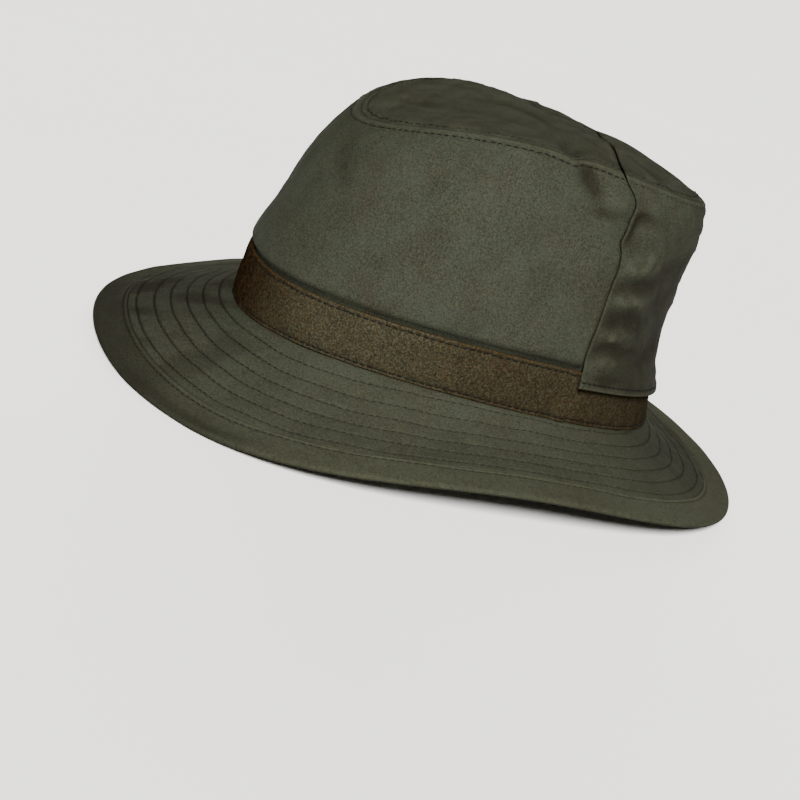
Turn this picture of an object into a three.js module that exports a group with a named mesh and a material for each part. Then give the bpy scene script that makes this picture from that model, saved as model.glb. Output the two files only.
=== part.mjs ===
// A hunting hat of waxed cotton: a stitched brim with a sewn-on border, a crown in two pieces, a
// cover that lies over the rear half of the crown, a leather band, and two ear flaps stowed inside.
// Millimetres. The front of the hat looks along -Y, the wearer's left is +X, and +Z is up.
import * as THREE from "three";

// Driving sizes: the crown
const FOOT_LENGTH = 210;
const FOOT_WIDTH = 178.4;
const TIP_LENGTH = 168;
const TIP_WIDTH = 138;
const TIP_SET_BACK = 11.5;
const CROWN_HEIGHT = 105;
const DOME_HEIGHT = 10.5;
const BELLY = 8;
const FOOT_WAVE = 10;
const CREASE = 3;
// Driving sizes: the brim
const BRIM_WIDTH = 60;
const BRIM_DROP = 26;
const BRIM_THICKNESS = 2.4;
const BORDER_WIDTH = 14.5;
const JOIN_HEIGHT = 27.3;
const REST_WIDTH = 5;
const REST_EASE = 10;
const REST_REACH = 2.5;
// Driving sizes: band, cover and cloth
const BAND_HEIGHT = 24;
const BAND_THICKNESS = 1.8;
const CLOTH = 2;
const COVER_THICKNESS = 1.5;
const COVER_LAP = 6.5;
const COVER_START_ANGLE = 106;
const HEM_FLARE = 0.9;
const CLOTH_OVER_BAND = 1.2;
const CLOTH_EASE = 4;
const BULGE_REACH = 22;
const COVER_EASE = 8;
// Driving sizes: ear flaps
const FLAP_WIDTH = 86;
const FLAP_LENGTH = 92;
const FLAP_THICKNESS = 2.6;
const BINDING_WIDTH = 8;
const FLAP_LIFT = 1.2;
// The gap that sewn pieces keep here
const GAP = 0.3;

// One row for each direction round the hat, from the front to the rear, as shares of FOOT_WAVE,
// CROWN_HEIGHT, BELLY for belly and shoulder, BRIM_WIDTH, and BRIM_DROP for drop and sag. foot,
// seam and drop are heights, belly and shoulder push the wall out, width is the brim's width seen
// from above, and sag is how far the brim hangs below a straight slope.
const ROUND_THE_HAT = [
  { foot: -0.1, seam: 0.911, belly: 0.86, shoulder: 0.2, width: 0.985, drop: 0.94, sag: 0 },
  { foot: 0.27, seam: 1.012, belly: 1.3, shoulder: 0.2, width: 1.05, drop: 0.975, sag: 0.12 },
  { foot: 0.49, seam: 1.075, belly: 1.0, shoulder: 0.1, width: 0.86, drop: 0.46, sag: 0.13 },
  { foot: -0.27, seam: 0.995, belly: 0.06, shoulder: 0.3, width: 0.905, drop: 0.866, sag: 0.06 },
  { foot: -0.87, seam: 0.955, belly: -0.76, shoulder: 0.4, width: 0.735, drop: 1.02, sag: 0.15 },
];
// Dents and folds in the wall: angle from the front in degrees, height and reach as shares of the
// crown's height, lean from upright in degrees, and depth as a share of the crease size.
const WALL_FOLDS = [
  { angle: 91, up: 0.93, long: 0.13, wide: 0.055, lean: 12, depth: -0.8 },
  { angle: 112, up: 0.85, long: 0.1, wide: 0.075, lean: -30, depth: -1.0 },
  { angle: 136, up: 0.54, long: 0.2, wide: 0.15, lean: -25, depth: -1.1 },
  { angle: 150, up: 0.84, long: 0.12, wide: 0.25, lean: 0, depth: 0.5 },
  { angle: 206, up: 0.5, long: 0.24, wide: 0.13, lean: 20, depth: -0.9 },
  { angle: 262, up: 0.88, long: 0.14, wide: 0.07, lean: 10, depth: -0.7 },
  { angle: 318, up: 0.62, long: 0.25, wide: 0.12, lean: 25, depth: -0.6 },
];
// Dents and folds in the tip: middle and reach as shares of half the tip's width and length, the
// turn of the fold from the width in degrees, and depth as a share of the crease size.
const TIP_FOLDS = [
  { side: 0.72, back: -0.07, long: 0.3, wide: 0.08, turn: -6, depth: -0.7 },
  { side: -0.55, back: 0.06, long: 0.3, wide: 0.1, turn: 20, depth: -0.9 },
  { side: 0.15, back: -0.35, long: 0.5, wide: 0.22, turn: 15, depth: -0.5 },
];

// Shares and powers that shape the curves
const DOME_POWER = 2.6;
const SHOULDER_POWER = 6;
const FOLDS_START = 0.2;
const FOLDS_FULL = 0.35;
const SEAM_HOLD_POWER = 12;
const SAG_LEAN = 0.7;
const EDGE_ROUND = 0.25;
const FLAP_STRAIGHT_SHARE = 0.45;
const FLAP_END_TAPER = 0.9;

// Steps that the surfaces are cut into, and the turns at which the cover's front edge begins
const FRONT_STEPS = 30;
const REAR_STEPS = 20;
const TIP_STEPS = 8;
const BRIM_STEPS = 4;
const FLAP_STEPS = 8;
const STEP_TURN = 1;
const COVER_CLEAR_TURN = 1.6;
// Points are told apart in steps of a thousandth of a millimetre
const POINT_STEPS = 1000;
const TINY = 1e-6;

const DEGREE = Math.PI / 180;
const SHOULDER_SCALE = (SHOULDER_POWER + 1) * (1 + 1 / SHOULDER_POWER) ** SHOULDER_POWER;
const CENTRE_Y = (BRIM_WIDTH * (ROUND_THE_HAT[0].width - ROUND_THE_HAT[4].width)) / 2;
const BAND_INSET = BAND_THICKNESS + GAP;
const COVER_INSET = COVER_THICKNESS + GAP;
const FLAP_INSET = Math.max(BAND_INSET, COVER_INSET) + CLOTH + GAP;
const REAR_START_ANGLE = COVER_START_ANGLE + STEP_TURN;
const LAID_START_ANGLE = COVER_START_ANGLE + COVER_CLEAR_TURN;

// A smooth even curve round the hat through the five rows of one column.
function roundTheHat(column) {
  const last = ROUND_THE_HAT.length - 1;
  const waves = ROUND_THE_HAT.map((_, wave) => {
    const sum = ROUND_THE_HAT.reduce((total, row, i) => {
      const weight = i === 0 || i === last ? 0.5 : 1;
      return total + weight * row[column] * Math.cos((wave * i * Math.PI) / last);
    }, 0);
    return (sum * (wave === 0 || wave === last ? 1 : 2)) / last;
  });
  return (angle) => waves.reduce((total, w, k) => total + w * Math.cos(k * angle * DEGREE), 0);
}
const footWave = roundTheHat("foot");
const seamShare = roundTheHat("seam");
const bellyShare = roundTheHat("belly");
const shoulderShare = roundTheHat("shoulder");
const brimShare = roundTheHat("width");
const dropShare = roundTheHat("drop");
const sagShare = roundTheHat("sag");

const smooth = (from, to, value) => THREE.MathUtils.smoothstep(value, from, to);
const mix = THREE.MathUtils.lerp;
// Rises from 0 to 1 in the middle and back to 0.
const hump = (share) => 4 * share * (1 - share);
// The same direction as a turn from -180 to 180 degrees.
const wrap = (angle) => (((angle % 360) + 540) % 360) - 180;

// The foot of the band: an oval whose height waves round the hat.
function foot(angle) {
  const a = angle * DEGREE;
  return new THREE.Vector3(
    (FOOT_WIDTH / 2) * Math.sin(a),
    (-FOOT_LENGTH / 2) * Math.cos(a) + CENTRE_Y,
    JOIN_HEIGHT + FOOT_WAVE * footWave(angle),
  );
}

// The direction straight out from the foot oval, level.
function outward(angle) {
  const a = angle * DEGREE;
  return new THREE.Vector3(Math.sin(a) / FOOT_WIDTH, -Math.cos(a) / FOOT_LENGTH, 0).normalize();
}

const seamHeight = (angle) => JOIN_HEIGHT + CROWN_HEIGHT * seamShare(angle);

// How high the tip stands at a share of its half width and half length.
function tipHeight(side, back) {
  const reach = Math.min(Math.hypot(side, back), 1);
  const angle = Math.atan2(side, -back) / DEGREE;
  const middle = JOIN_HEIGHT + CROWN_HEIGHT;
  const rim = mix(middle, seamHeight(angle), reach * reach);
  const folds = TIP_FOLDS.reduce((total, f) => {
    const turn = f.turn * DEGREE;
    const x = side - f.side;
    const y = back - f.back;
    const along = (x * Math.cos(turn) + y * Math.sin(turn)) / f.long;
    const across = (y * Math.cos(turn) - x * Math.sin(turn)) / f.wide;
    return total + f.depth * Math.exp(-along * along - across * across);
  }, 0);
  return rim + DOME_HEIGHT * (1 - reach ** DOME_POWER) + CREASE * folds;
}

function tipRim(angle) {
  const side = Math.sin(angle * DEGREE);
  const back = -Math.cos(angle * DEGREE);
  return new THREE.Vector3(
    (TIP_WIDTH / 2) * side,
    (TIP_LENGTH / 2) * back + TIP_SET_BACK + CENTRE_Y,
    tipHeight(side, back),
  );
}

function wallFold(angle, up) {
  return WALL_FOLDS.reduce((total, f) => {
    const x = (wrap(angle - f.angle) * DEGREE * FOOT_WIDTH) / 2 / CROWN_HEIGHT;
    const y = up - f.up;
    const lean = f.lean * DEGREE;
    const along = (y * Math.cos(lean) + x * Math.sin(lean)) / f.long;
    const across = (x * Math.cos(lean) - y * Math.sin(lean)) / f.wide;
    return total + f.depth * Math.exp(-along * along - across * across);
  }, 0);
}

// The outer face of the crown at an angle and a share of the height, moved in by a level inset.
function wall(angle, up, inset) {
  const belly = BELLY * bellyShare(angle) * hump(up);
  const shoulder = BELLY * shoulderShare(angle) * SHOULDER_SCALE * up ** SHOULDER_POWER * (1 - up);
  const free = smooth(FOLDS_START, FOLDS_FULL, up) * (1 - up ** SEAM_HOLD_POWER);
  const fold = CREASE * wallFold(angle, up) * free;
  const at = foot(angle).lerp(tipRim(angle), up);
  return at.addScaledVector(outward(angle), belly + shoulder + fold - inset);
}

const wallHeight = (angle) => tipRim(angle).z - foot(angle).z;
const rise = (angle, height) => height / wallHeight(angle);
// 0 where the crown shows, 1 where the cover lies over it.
const covered = (angle) => 1 - smooth(
  180 - REAR_START_ANGLE, 180 - COVER_START_ANGLE, Math.abs(wrap(angle - 180)),
);

function crownInset(angle, up) {
  const above = (up - rise(angle, BAND_HEIGHT + GAP)) * wallHeight(angle);
  const shown = -CLOTH_OVER_BAND * (1 - smooth(CLOTH_EASE, BULGE_REACH, above));
  const upper = mix(shown, COVER_INSET, covered(angle));
  return mix(BAND_INSET, upper, smooth(0, CLOTH_EASE, above));
}

function coverInset(angle, up) {
  const above = (up - rise(angle, BAND_HEIGHT)) * wallHeight(angle);
  const flare = HEM_FLARE * (1 - smooth(-COVER_LAP, 0, above));
  return -(COVER_INSET * (1 - smooth(GAP, COVER_EASE, above)) + flare);
}

// Closes a grid of outer points and a grid of inner points, [row][column], into one solid.
function shell(outer, inner, ring) {
  const points = [];
  const keys = new Map();
  const triangles = [];
  const index = (p) => {
    const key = [p.x, p.y, p.z].map((v) => Math.round(v * POINT_STEPS)).join();
    if (!keys.has(key)) {
      keys.set(key, points.length / 3);
      points.push(p.x, p.y, p.z);
    }
    return keys.get(key);
  };
  const quad = (a, b, c, d) => {
    const [i, j, k, l] = [a, b, c, d].map(index);
    for (const t of [[i, j, k], [i, k, l]]) {
      if (new Set(t).size === 3) triangles.push(...t);
    }
  };
  const rows = outer.length;
  const columns = outer[0].length;
  const steps = ring ? columns : columns - 1;
  for (let r = 0; r + 1 < rows; r++) {
    for (let c = 0; c < steps; c++) {
      const n = (c + 1) % columns;
      quad(outer[r][c], outer[r][n], outer[r + 1][n], outer[r + 1][c]);
      quad(inner[r][c], inner[r + 1][c], inner[r + 1][n], inner[r][n]);
    }
  }
  for (let c = 0; c < steps; c++) {
    const n = (c + 1) % columns;
    quad(outer[0][c], inner[0][c], inner[0][n], outer[0][n]);
    quad(outer[rows - 1][c], outer[rows - 1][n], inner[rows - 1][n], inner[rows - 1][c]);
  }
  if (!ring) {
    for (let r = 0; r + 1 < rows; r++) {
      quad(outer[r][0], outer[r + 1][0], inner[r + 1][0], inner[r][0]);
      const e = columns - 1;
      quad(outer[r][e], inner[r][e], inner[r + 1][e], outer[r + 1][e]);
    }
  }
  const geometry = new THREE.BufferGeometry();
  geometry.setAttribute("position", new THREE.Float32BufferAttribute(points, 3));
  geometry.setIndex(triangles);
  geometry.computeVertexNormals();
  return geometry;
}

// Evenly spaced values from one end to the other, both ends included.
const spread = (from, to, steps) => Array.from(
  { length: steps + 1 }, (_, i) => mix(from, to, i / steps),
);
const frontAngles = spread(-COVER_START_ANGLE, COVER_START_ANGLE, FRONT_STEPS);
const rearAngles = spread(REAR_START_ANGLE, 360 - REAR_START_ANGLE, REAR_STEPS);
const allAngles = [...frontAngles, ...rearAngles];
const laidAngles = [LAID_START_ANGLE, ...rearAngles.slice(1, -1), 360 - LAID_START_ANGLE];

// A piece of wall over some angles and heights, from an inset function and a thickness.
function wallPiece(angles, heights, inset, thickness, ring) {
  const face = (extra) => heights.map((height) => angles.map((angle) => {
    const up = height(angle);
    return wall(angle, up, inset(angle, up) + extra);
  }));
  return shell(face(0), face(thickness), ring);
}

// The share of the height at which a wall stops, just under a tip piece laid at some depth.
const underTip = (depth) => (angle) => 1 - rise(angle, depth + GAP);
// The heights that the crown and its cover both bend at, as shares of the wall.
const BENDS = [0.4, 0.52, 0.64, 0.76, 0.87, 0.93].map((share) => () => share);
const coverBend = (angle) => rise(angle, BAND_HEIGHT + COVER_EASE);

function crownSide() {
  const heights = [
    (angle) => rise(angle, GAP),
    (angle) => rise(angle, BAND_HEIGHT / 2),
    (angle) => rise(angle, BAND_HEIGHT + GAP),
    (angle) => rise(angle, BAND_HEIGHT + GAP + CLOTH_EASE),
    coverBend,
    ...BENDS,
    (angle) => underTip(CLOTH + COVER_INSET * covered(angle))(angle),
  ];
  return wallPiece(allAngles, heights, crownInset, CLOTH, true);
}

function coverSide() {
  const heights = [
    (angle) => rise(angle, BAND_HEIGHT - COVER_LAP),
    (angle) => rise(angle, BAND_HEIGHT),
    coverBend,
    ...BENDS,
    underTip(COVER_THICKNESS),
  ];
  return wallPiece(laidAngles, heights, coverInset, COVER_THICKNESS, false);
}

function bandPiece(angles) {
  const heights = [
    (angle) => rise(angle, GAP),
    (angle) => rise(angle, BAND_HEIGHT / 2),
    (angle) => rise(angle, BAND_HEIGHT),
  ];
  return wallPiece(angles, heights, () => 0, BAND_THICKNESS, false);
}

// The tip in rows from front to rear, each as wide as the oval there.
function tipPiece(angles, inset, depth, thickness) {
  const face = (extra) => angles.map((angle) => spread(-1, 1, TIP_STEPS).map((share) => {
    const side = Math.sin(angle * DEGREE) * share;
    const back = -Math.cos(angle * DEGREE);
    const level = inset * covered(angle);
    return new THREE.Vector3(
      side * (TIP_WIDTH / 2 - level),
      back * (TIP_LENGTH / 2 - level) + TIP_SET_BACK + CENTRE_Y,
      tipHeight(side, back) - depth * covered(angle) - extra,
    );
  }));
  return shell(face(0), face(thickness), false);
}

function crownTip() {
  const angles = [
    ...frontAngles.filter((angle) => angle > -TINY),
    ...rearAngles.filter((angle) => angle < 180 + TINY),
  ];
  return tipPiece(angles, COVER_INSET, COVER_INSET, CLOTH);
}

function coverTip() {
  const angles = laidAngles.filter((angle) => angle < 180 + TINY);
  return tipPiece(angles, 0, 0, COVER_THICKNESS);
}

const brimWidth = (angle) => BRIM_WIDTH * brimShare(angle);

// The height of the brim's underside at a distance out from the foot. Where the rim comes down to
// the floor, the last of the brim lies flat on it.
function underside(angle, out) {
  const width = brimWidth(angle);
  const rim = JOIN_HEIGHT - BRIM_DROP * dropShare(angle) - BRIM_THICKNESS / 2;
  const share = THREE.MathUtils.clamp(out / width, 0, 1);
  const sag = BRIM_DROP * sagShare(angle) * hump(share) * (1 + SAG_LEAN * (1 - 2 * share));
  const slope = mix(foot(angle).z - BRIM_THICKNESS, rim, share) - sag;
  const resting = 1 - smooth(0, REST_REACH, rim);
  const laid = resting * smooth(width - REST_WIDTH - REST_EASE, width - REST_WIDTH, out);
  return Math.max(0, mix(slope, rim, laid));
}

// A ring of the brim between distances out from the foot, thinned by an amount at each distance.
function brimPiece(distances, thin) {
  const under = distances.map((distance, row) => allAngles.map((angle) => {
    const out = distance(angle);
    const at = foot(angle).addScaledVector(outward(angle), out);
    return at.setZ(underside(angle, out) + thin[row]);
  }));
  const over = under.map((line, row) => line.map(
    (at) => at.clone().setZ(at.z + BRIM_THICKNESS - 2 * thin[row]),
  ));
  return shell(under, over, true);
}

function brim() {
  const ledge = -(BAND_INSET + CLOTH);
  const end = (angle) => brimWidth(angle) - BORDER_WIDTH - GAP;
  const steps = spread(0, 1, BRIM_STEPS).map((share) => (angle) => end(angle) * share);
  const distances = [() => ledge, ...steps];
  return brimPiece(distances, distances.map(() => 0));
}

function brimBorder() {
  const edge = BRIM_THICKNESS * EDGE_ROUND;
  const inward = [BORDER_WIDTH, (BORDER_WIDTH + REST_WIDTH) / 2, REST_WIDTH, edge, 0];
  const distances = inward.map((distance) => (angle) => brimWidth(angle) - distance);
  return brimPiece(distances, [0, 0, 0, 0, edge]);
}

// A point of an ear flap folded up inside the crown: across and up its face, and in from the wall.
function flapPoint(side, across, up, depth) {
  const turn = across / (FOOT_LENGTH / 2) / DEGREE;
  const angle = side * 90 + turn;
  return wall(angle, rise(angle, FLAP_LIFT + up), FLAP_INSET + depth);
}

// Half the width of a flap at a share of its length: straight sides and a round end.
function flapHalfWidth(share) {
  const round = Math.max(share - FLAP_STRAIGHT_SHARE, 0) / (1 - FLAP_STRAIGHT_SHARE);
  return mix(1, FLAP_END_TAPER, share) * Math.sqrt(1 - round * round);
}
const FLAP_SHARES = [0, 0.25, 0.45, 0.62, 0.76, 0.87, 0.95, 0.99, 1];

function earFlap(side) {
  const halfWidth = FLAP_WIDTH / 2 - BINDING_WIDTH - GAP;
  const length = FLAP_LENGTH - BINDING_WIDTH - GAP;
  const face = (depth) => FLAP_SHARES.map((share) => spread(1, -1, FLAP_STEPS).map(
    (c) => flapPoint(side, c * halfWidth * flapHalfWidth(share), length * share, depth),
  ));
  return shell(face(FLAP_THICKNESS), face(0), false);
}

function flapBinding(side) {
  const edge = [
    ...FLAP_SHARES.map((share) => ({ hand: -1, share })),
    ...FLAP_SHARES.slice(0, -1).reverse().map((share) => ({ hand: 1, share })),
  ];
  const line = (margin, depth) => edge.map(({ hand, share }) => flapPoint(
    side,
    hand * (FLAP_WIDTH / 2 - margin) * flapHalfWidth(share),
    (FLAP_LENGTH - margin) * share,
    depth,
  ));
  const margins = [0, BINDING_WIDTH / 2, BINDING_WIDTH];
  const face = (depth) => margins.map((margin) => line(margin, depth));
  return shell(face(FLAP_THICKNESS), face(0), false);
}

const waxedCotton = { color: 0x56543f, roughness: 0.78, metalness: 0 };
const coverCotton = { color: 0x514f3d, roughness: 0.78, metalness: 0 };
const waxedLeather = { color: 0x5a4630, roughness: 0.7, metalness: 0 };
const liningCloth = { color: 0x34352b, roughness: 0.9, metalness: 0 };
const bindingTape = { color: 0x1b1b1a, roughness: 0.85, metalness: 0 };

function piece(name, geometry, finish) {
  const mesh = new THREE.Mesh(geometry, new THREE.MeshStandardMaterial(finish));
  mesh.name = name;
  return mesh;
}

const hat = new THREE.Group();
hat.name = "hunting_hat";
hat.add(
  piece("brim", brim(), waxedCotton),
  piece("brim_border", brimBorder(), waxedCotton),
  piece("crown_side", crownSide(), waxedCotton),
  piece("crown_tip", crownTip(), waxedCotton),
  piece("cover_side", coverSide(), coverCotton),
  piece("cover_tip", coverTip(), coverCotton),
  piece("band_front", bandPiece(frontAngles), waxedLeather),
  piece("band_rear", bandPiece(laidAngles), waxedLeather),
);
for (const [hand, side] of [["left", 1], ["right", -1]]) {
  hat.add(
    piece(`ear_flap_${hand}`, earFlap(side), liningCloth),
    piece(`flap_binding_${hand}`, flapBinding(side), bindingTape),
  );
}

export default hat;
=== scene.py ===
# A waxed cotton hunting hat: a stitched brim with a sewn-on border, a crown in two pieces, a cover
# laid over the rear half of the crown, a leather band, and two ear flaps stowed inside.
# Shapes are worked out in millimetres and become metres when a mesh is made.
import math

import bmesh
import bpy
import numpy as np
from mathutils import Matrix


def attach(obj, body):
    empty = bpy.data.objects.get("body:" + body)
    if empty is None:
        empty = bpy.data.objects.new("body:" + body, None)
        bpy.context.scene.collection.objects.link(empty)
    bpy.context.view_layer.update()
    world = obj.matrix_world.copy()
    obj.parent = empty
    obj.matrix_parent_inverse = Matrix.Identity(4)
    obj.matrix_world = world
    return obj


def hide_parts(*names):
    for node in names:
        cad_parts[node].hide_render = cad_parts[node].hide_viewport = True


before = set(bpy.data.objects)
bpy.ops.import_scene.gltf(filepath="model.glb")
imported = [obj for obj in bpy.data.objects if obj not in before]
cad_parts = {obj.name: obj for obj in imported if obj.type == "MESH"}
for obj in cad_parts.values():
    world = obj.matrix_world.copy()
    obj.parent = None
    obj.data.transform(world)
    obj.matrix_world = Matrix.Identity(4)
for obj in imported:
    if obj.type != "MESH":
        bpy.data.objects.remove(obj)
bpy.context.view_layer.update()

MM = 0.001
# Points closer than this many metres are one point.
SAME_PLACE = 1e-7
UP = np.array([0, 0, 1.0])

# Sizes of the crown
FOOT_LENGTH = 210
FOOT_WIDTH = 178.4
TIP_LENGTH = 168
TIP_WIDTH = 138
TIP_SET_BACK = 11.5
CROWN_HEIGHT = 105
DOME_HEIGHT = 10.5
BELLY = 8
FOOT_WAVE = 10
CREASE = 3
# Sizes of the brim
BRIM_WIDTH = 60
BRIM_DROP = 26
BRIM_THICKNESS = 2.4
BORDER_WIDTH = 14.5
JOIN_HEIGHT = 27.3
REST_WIDTH = 5
REST_EASE = 10
REST_REACH = 2.5
# Sizes of the band, the cover and the cloth
BAND_HEIGHT = 24
BAND_THICKNESS = 1.8
CLOTH = 2
COVER_THICKNESS = 1.5
COVER_LAP = 6.5
COVER_START = 107.6
HEM_FLARE = 0.9
CLOTH_OVER_BAND = 1.2
CLOTH_EASE = 4
BULGE_REACH = 22
COVER_EASE = 8
# Sizes of the ear flaps
FLAP_WIDTH = 86
FLAP_LENGTH = 92
FLAP_THICKNESS = 2.6
BINDING_WIDTH = 8
FLAP_LIFT = 1.2
GAP = 0.3
# Powers and shares that shape the curves
DOME_POWER = 2.6
SHOULDER_POWER = 6
FOLDS_START = 0.2
FOLDS_FULL = 0.35
SEAM_HOLD_POWER = 12
SAG_LEAN = 0.7
FLAP_STRAIGHT_SHARE = 0.45
FLAP_END_TAPER = 0.9

# Each column has a value for every 45 degrees from the front of the hat to its rear.
ROUND_THE_HAT = {
    "foot": (-0.1, 0.27, 0.49, -0.27, -0.87),
    "seam": (0.911, 1.012, 1.075, 0.995, 0.955),
    "belly": (0.86, 1.3, 1.0, 0.06, -0.76),
    "shoulder": (0.2, 0.2, 0.1, 0.3, 0.4),
    "width": (0.985, 1.05, 0.86, 0.905, 0.735),
    "drop": (0.94, 0.975, 0.46, 0.866, 1.02),
    "sag": (0, 0.12, 0.13, 0.06, 0.15),
    "row_spread": (1.02, 1.1, 0.91, 1.01, 0.93),
    "row_depth": (1.0, 0.42, 0.12, 0.3, 0.8),
    "border_shade": (0.75, 0.2, 0.0, 0.1, 0.3),
}
# Dents and folds in the wall, one a row: its angle round the hat, its height, how long and how
# wide it is, its lean from upright, and its depth. Angles are in degrees, heights and widths are
# shares of the crown's height, and the depth is a share of the crease size.
WALL_FOLDS = [
    (91, 0.93, 0.13, 0.055, 12, -0.8),
    (112, 0.85, 0.1, 0.075, -30, -1.0),
    (136, 0.54, 0.2, 0.15, -25, -1.1),
    (150, 0.84, 0.12, 0.25, 0, 0.5),
    (206, 0.5, 0.24, 0.13, 20, -0.9),
    (262, 0.88, 0.14, 0.07, 10, -0.7),
    (318, 0.62, 0.25, 0.12, 25, -0.6),
]
# Dents and folds in the tip, one a row: how far to the side and to the back its middle lies, how
# long and how wide it is, its turn in degrees, and its depth, in shares as above.
TIP_FOLDS = [
    (0.72, -0.07, 0.3, 0.08, -6, -0.7),
    (-0.55, 0.06, 0.3, 0.1, 20, -0.9),
    (0.15, -0.35, 0.5, 0.22, 15, -0.5),
]
# Smaller folds that only the surface shows, in the same order
WALL_CREASES = [
    (109.5, 0.80, 0.07, 0.022, 35, -0.6),
    (114, 0.865, 0.08, 0.025, 85, -0.6),
    (116, 0.69, 0.15, 0.05, 75, 0.55),
    (119, 0.61, 0.13, 0.03, 80, -0.5),
    (116, 0.54, 0.11, 0.025, 86, 0.6),
    (117, 0.46, 0.12, 0.035, 86, -0.5),
    (113, 0.385, 0.09, 0.02, 84, 0.55),
    (117, 0.335, 0.1, 0.022, 86, -0.5),
    (112, 0.27, 0.08, 0.022, 80, 0.6),
    (116, 0.215, 0.07, 0.02, 88, -0.6),
    (140, 0.36, 0.2, 0.04, 75, -0.5),
    (92, 0.93, 0.1, 0.033, -48, -0.9),
    (100, 0.835, 0.1, 0.022, 86, -0.45),
    (102, 0.89, 0.07, 0.03, 80, 0.5),
    (170, 0.62, 0.2, 0.035, 70, 0.5),
    (200, 0.4, 0.2, 0.035, -70, 0.5),
    (222, 0.72, 0.16, 0.04, -60, 0.6),
    (240, 0.5, 0.13, 0.03, -84, 0.5),
    (247, 0.85, 0.07, 0.03, -50, -0.6),
    (275, 0.6, 0.2, 0.04, 40, -0.3),
    (20, 0.8, 0.2, 0.05, -50, -0.3),
]
TIP_CREASES = [
    (0.72, -0.055, 0.3, 0.03, -4, -0.6),
    (0.7, 0.04, 0.22, 0.05, 4, 0.6),
    (-0.76, 0.09, 0.22, 0.06, 8, -0.9),
    (-0.05, -0.66, 0.2, 0.09, 12, -0.5),
    (-0.24, -0.22, 0.22, 0.08, 25, -0.5),
    (0.02, -0.02, 0.25, 0.07, 15, -0.5),
    (0.54, 0.53, 0.12, 0.08, -20, -0.6),
    (-0.3, 0.6, 0.2, 0.08, 30, -0.5),
]
# Where the cover's front edge swings back or forward: the height and reach as shares of the wall,
# and the turn in degrees on the wearer's left and on the right.
EDGE_SWINGS = [
    (1.0, 0.06, -5.0, 5.0),
    (0.89, 0.05, 1.6, -0.6),
    (0.755, 0.035, -1.3, 0.8),
    (0.65, 0.05, 0.7, -0.5),
    (0.3, 0.1, -0.4, 0.4),
]
EDGE_BOW = 2.5

# The brim's rows of stitches, its border, and the topstitch on both sides of the border's seam
ROW_COUNT = 5
ROW_FIRST = 11.2
ROW_STEP = 6.85
ROW_GROOVE = 0.4
ROW_PAD = 0.22
ROW_UNEVEN = 0.35
ROW_MARGIN = 1.2
TOPSTITCH_INSIDE = 3.7
TOPSTITCH_OUTSIDE = 1.8
BORDER_RISE = 0.2
BORDER_GROOVE = 0.28
BRIM_UNDER_SHARE = 0.7
BORDER_UNDER_SHARE = 0.6
# Topstitched seams, rounded edges, and the puckers beside a seam
GROOVE_WIDTH = 0.45
SEAM_STITCH = 2.4
SEAM_GROOVE = 0.18
SEAM_RIDGE = 0.14
SEAM_GAP = 0.06
SEAM_TUCK = 0.03
SEAM_ROLL = 0.35
TIP_ROLL = 0.35
EDGE_LEFT = 0.1
ROUND_SHARE = 0.48
PUCKER = 0.2
PUCKER_REACH = 4
# The cover's front edge and its hem
COVER_PROUD = 0.28
COVER_PROUD_REACH = 14
EDGE_SLOPE = 1.5
EDGE_CALM = 9
EDGE_MARGIN = 1.5
HEM_WIDTH = 4.6
HEM_ROLL = 0.45
HEM_STITCH = 2.9
# The band
BAND_STITCH = 1.7
BAND_LAP = 1.0
BAND_END_ANGLE = 108.4
BAND_REAR_START = 105.5
BAND_GROOVE = 0.25
BAND_GROOVE_WIDTH = 0.6
BAND_ROUND_SHARE = 0.3
BAND_INSIDE_SHARE = 0.3
# The ear flaps and their tape
FLAP_ROUND = 1.2
FLAP_INSIDE_SHARE = 0.6
BINDING_STITCH = 6.6
BINDING_GROOVE = 0.3
BINDING_GROOVE_WIDTH = 0.7
BINDING_ROUND_SHARE = 0.45
BINDING_RISE = 0.4
# Uneven waves and creases in the cloth: how high they are and where they fade
RIPPLE = 0.3
RIPPLE_WAVES = 9
CRUMPLE = 0.2
COVER_CRUMPLE = 3
LOOSE_EASE = 12
TIP_RIPPLE = 0.48
TIP_CRUMPLE = 0.24
TIP_CALM = 9
BRIM_RIPPLE = 0.2
BRIM_RIPPLE_LEAST = -0.3
BORDER_RIPPLE = 0.12
BAND_RIPPLE = 0.16
QUILT = 0.5
# The size in millimetres and the seed of each uneven wave
WAVES = {
    "wall": (34, 3), "tip": (34, 5), "brim": (34, 7), "border": (34, 9), "band": (14, 23),
    "flap": (30, 31), "wall creases": (15, 41), "tip creases": (15, 43), "puckers": (7, 11),
    "rows": (7, 17), "front of the brim": (30, 51), "brim shade": (22, 52),
    "border shade": (45, 53), "wall shade": (26, 61), "tip shade": (19, 63),
    "tip wear": (11, 64), "cover shade": (12, 72), "fold highlight": (7, 71),
}
# Angles from the front, in degrees, between which a mark of painted shade, of painted light and of
# the band's darker paint grows to its full strength
SHADED_FRONT_RIGHT = (-120, -60)
SHADED_FRONT_LEFT = (22, -15)
FRONT_PATCHY = (50, 15)
REAR_SHADED = (115, 150)
SIDE_LIT = (15, 50)
REAR_UNLIT = (150, 105)
BORDER_LIT = (20, 70)
COVER_REAR_SHADED = (116, 130)
BAND_FRONT_SHADED = (45, 5)
BAND_SIDE_DARKER = (60, 90)
BAND_REAR_DARKER = (102, 112)

CENTRE_Y = BRIM_WIDTH * (ROUND_THE_HAT["width"][0] - ROUND_THE_HAT["width"][-1]) / 2
BAND_INSET = BAND_THICKNESS + GAP
COVER_INSET = COVER_THICKNESS + GAP
FLAP_INSET = max(BAND_INSET, COVER_INSET) + CLOTH + GAP
SHOULDER_SCALE = (SHOULDER_POWER + 1) * (1 + 1 / SHOULDER_POWER) ** SHOULDER_POWER
ALONG_PER_DEGREE = math.radians(FOOT_LENGTH / 2)

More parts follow.
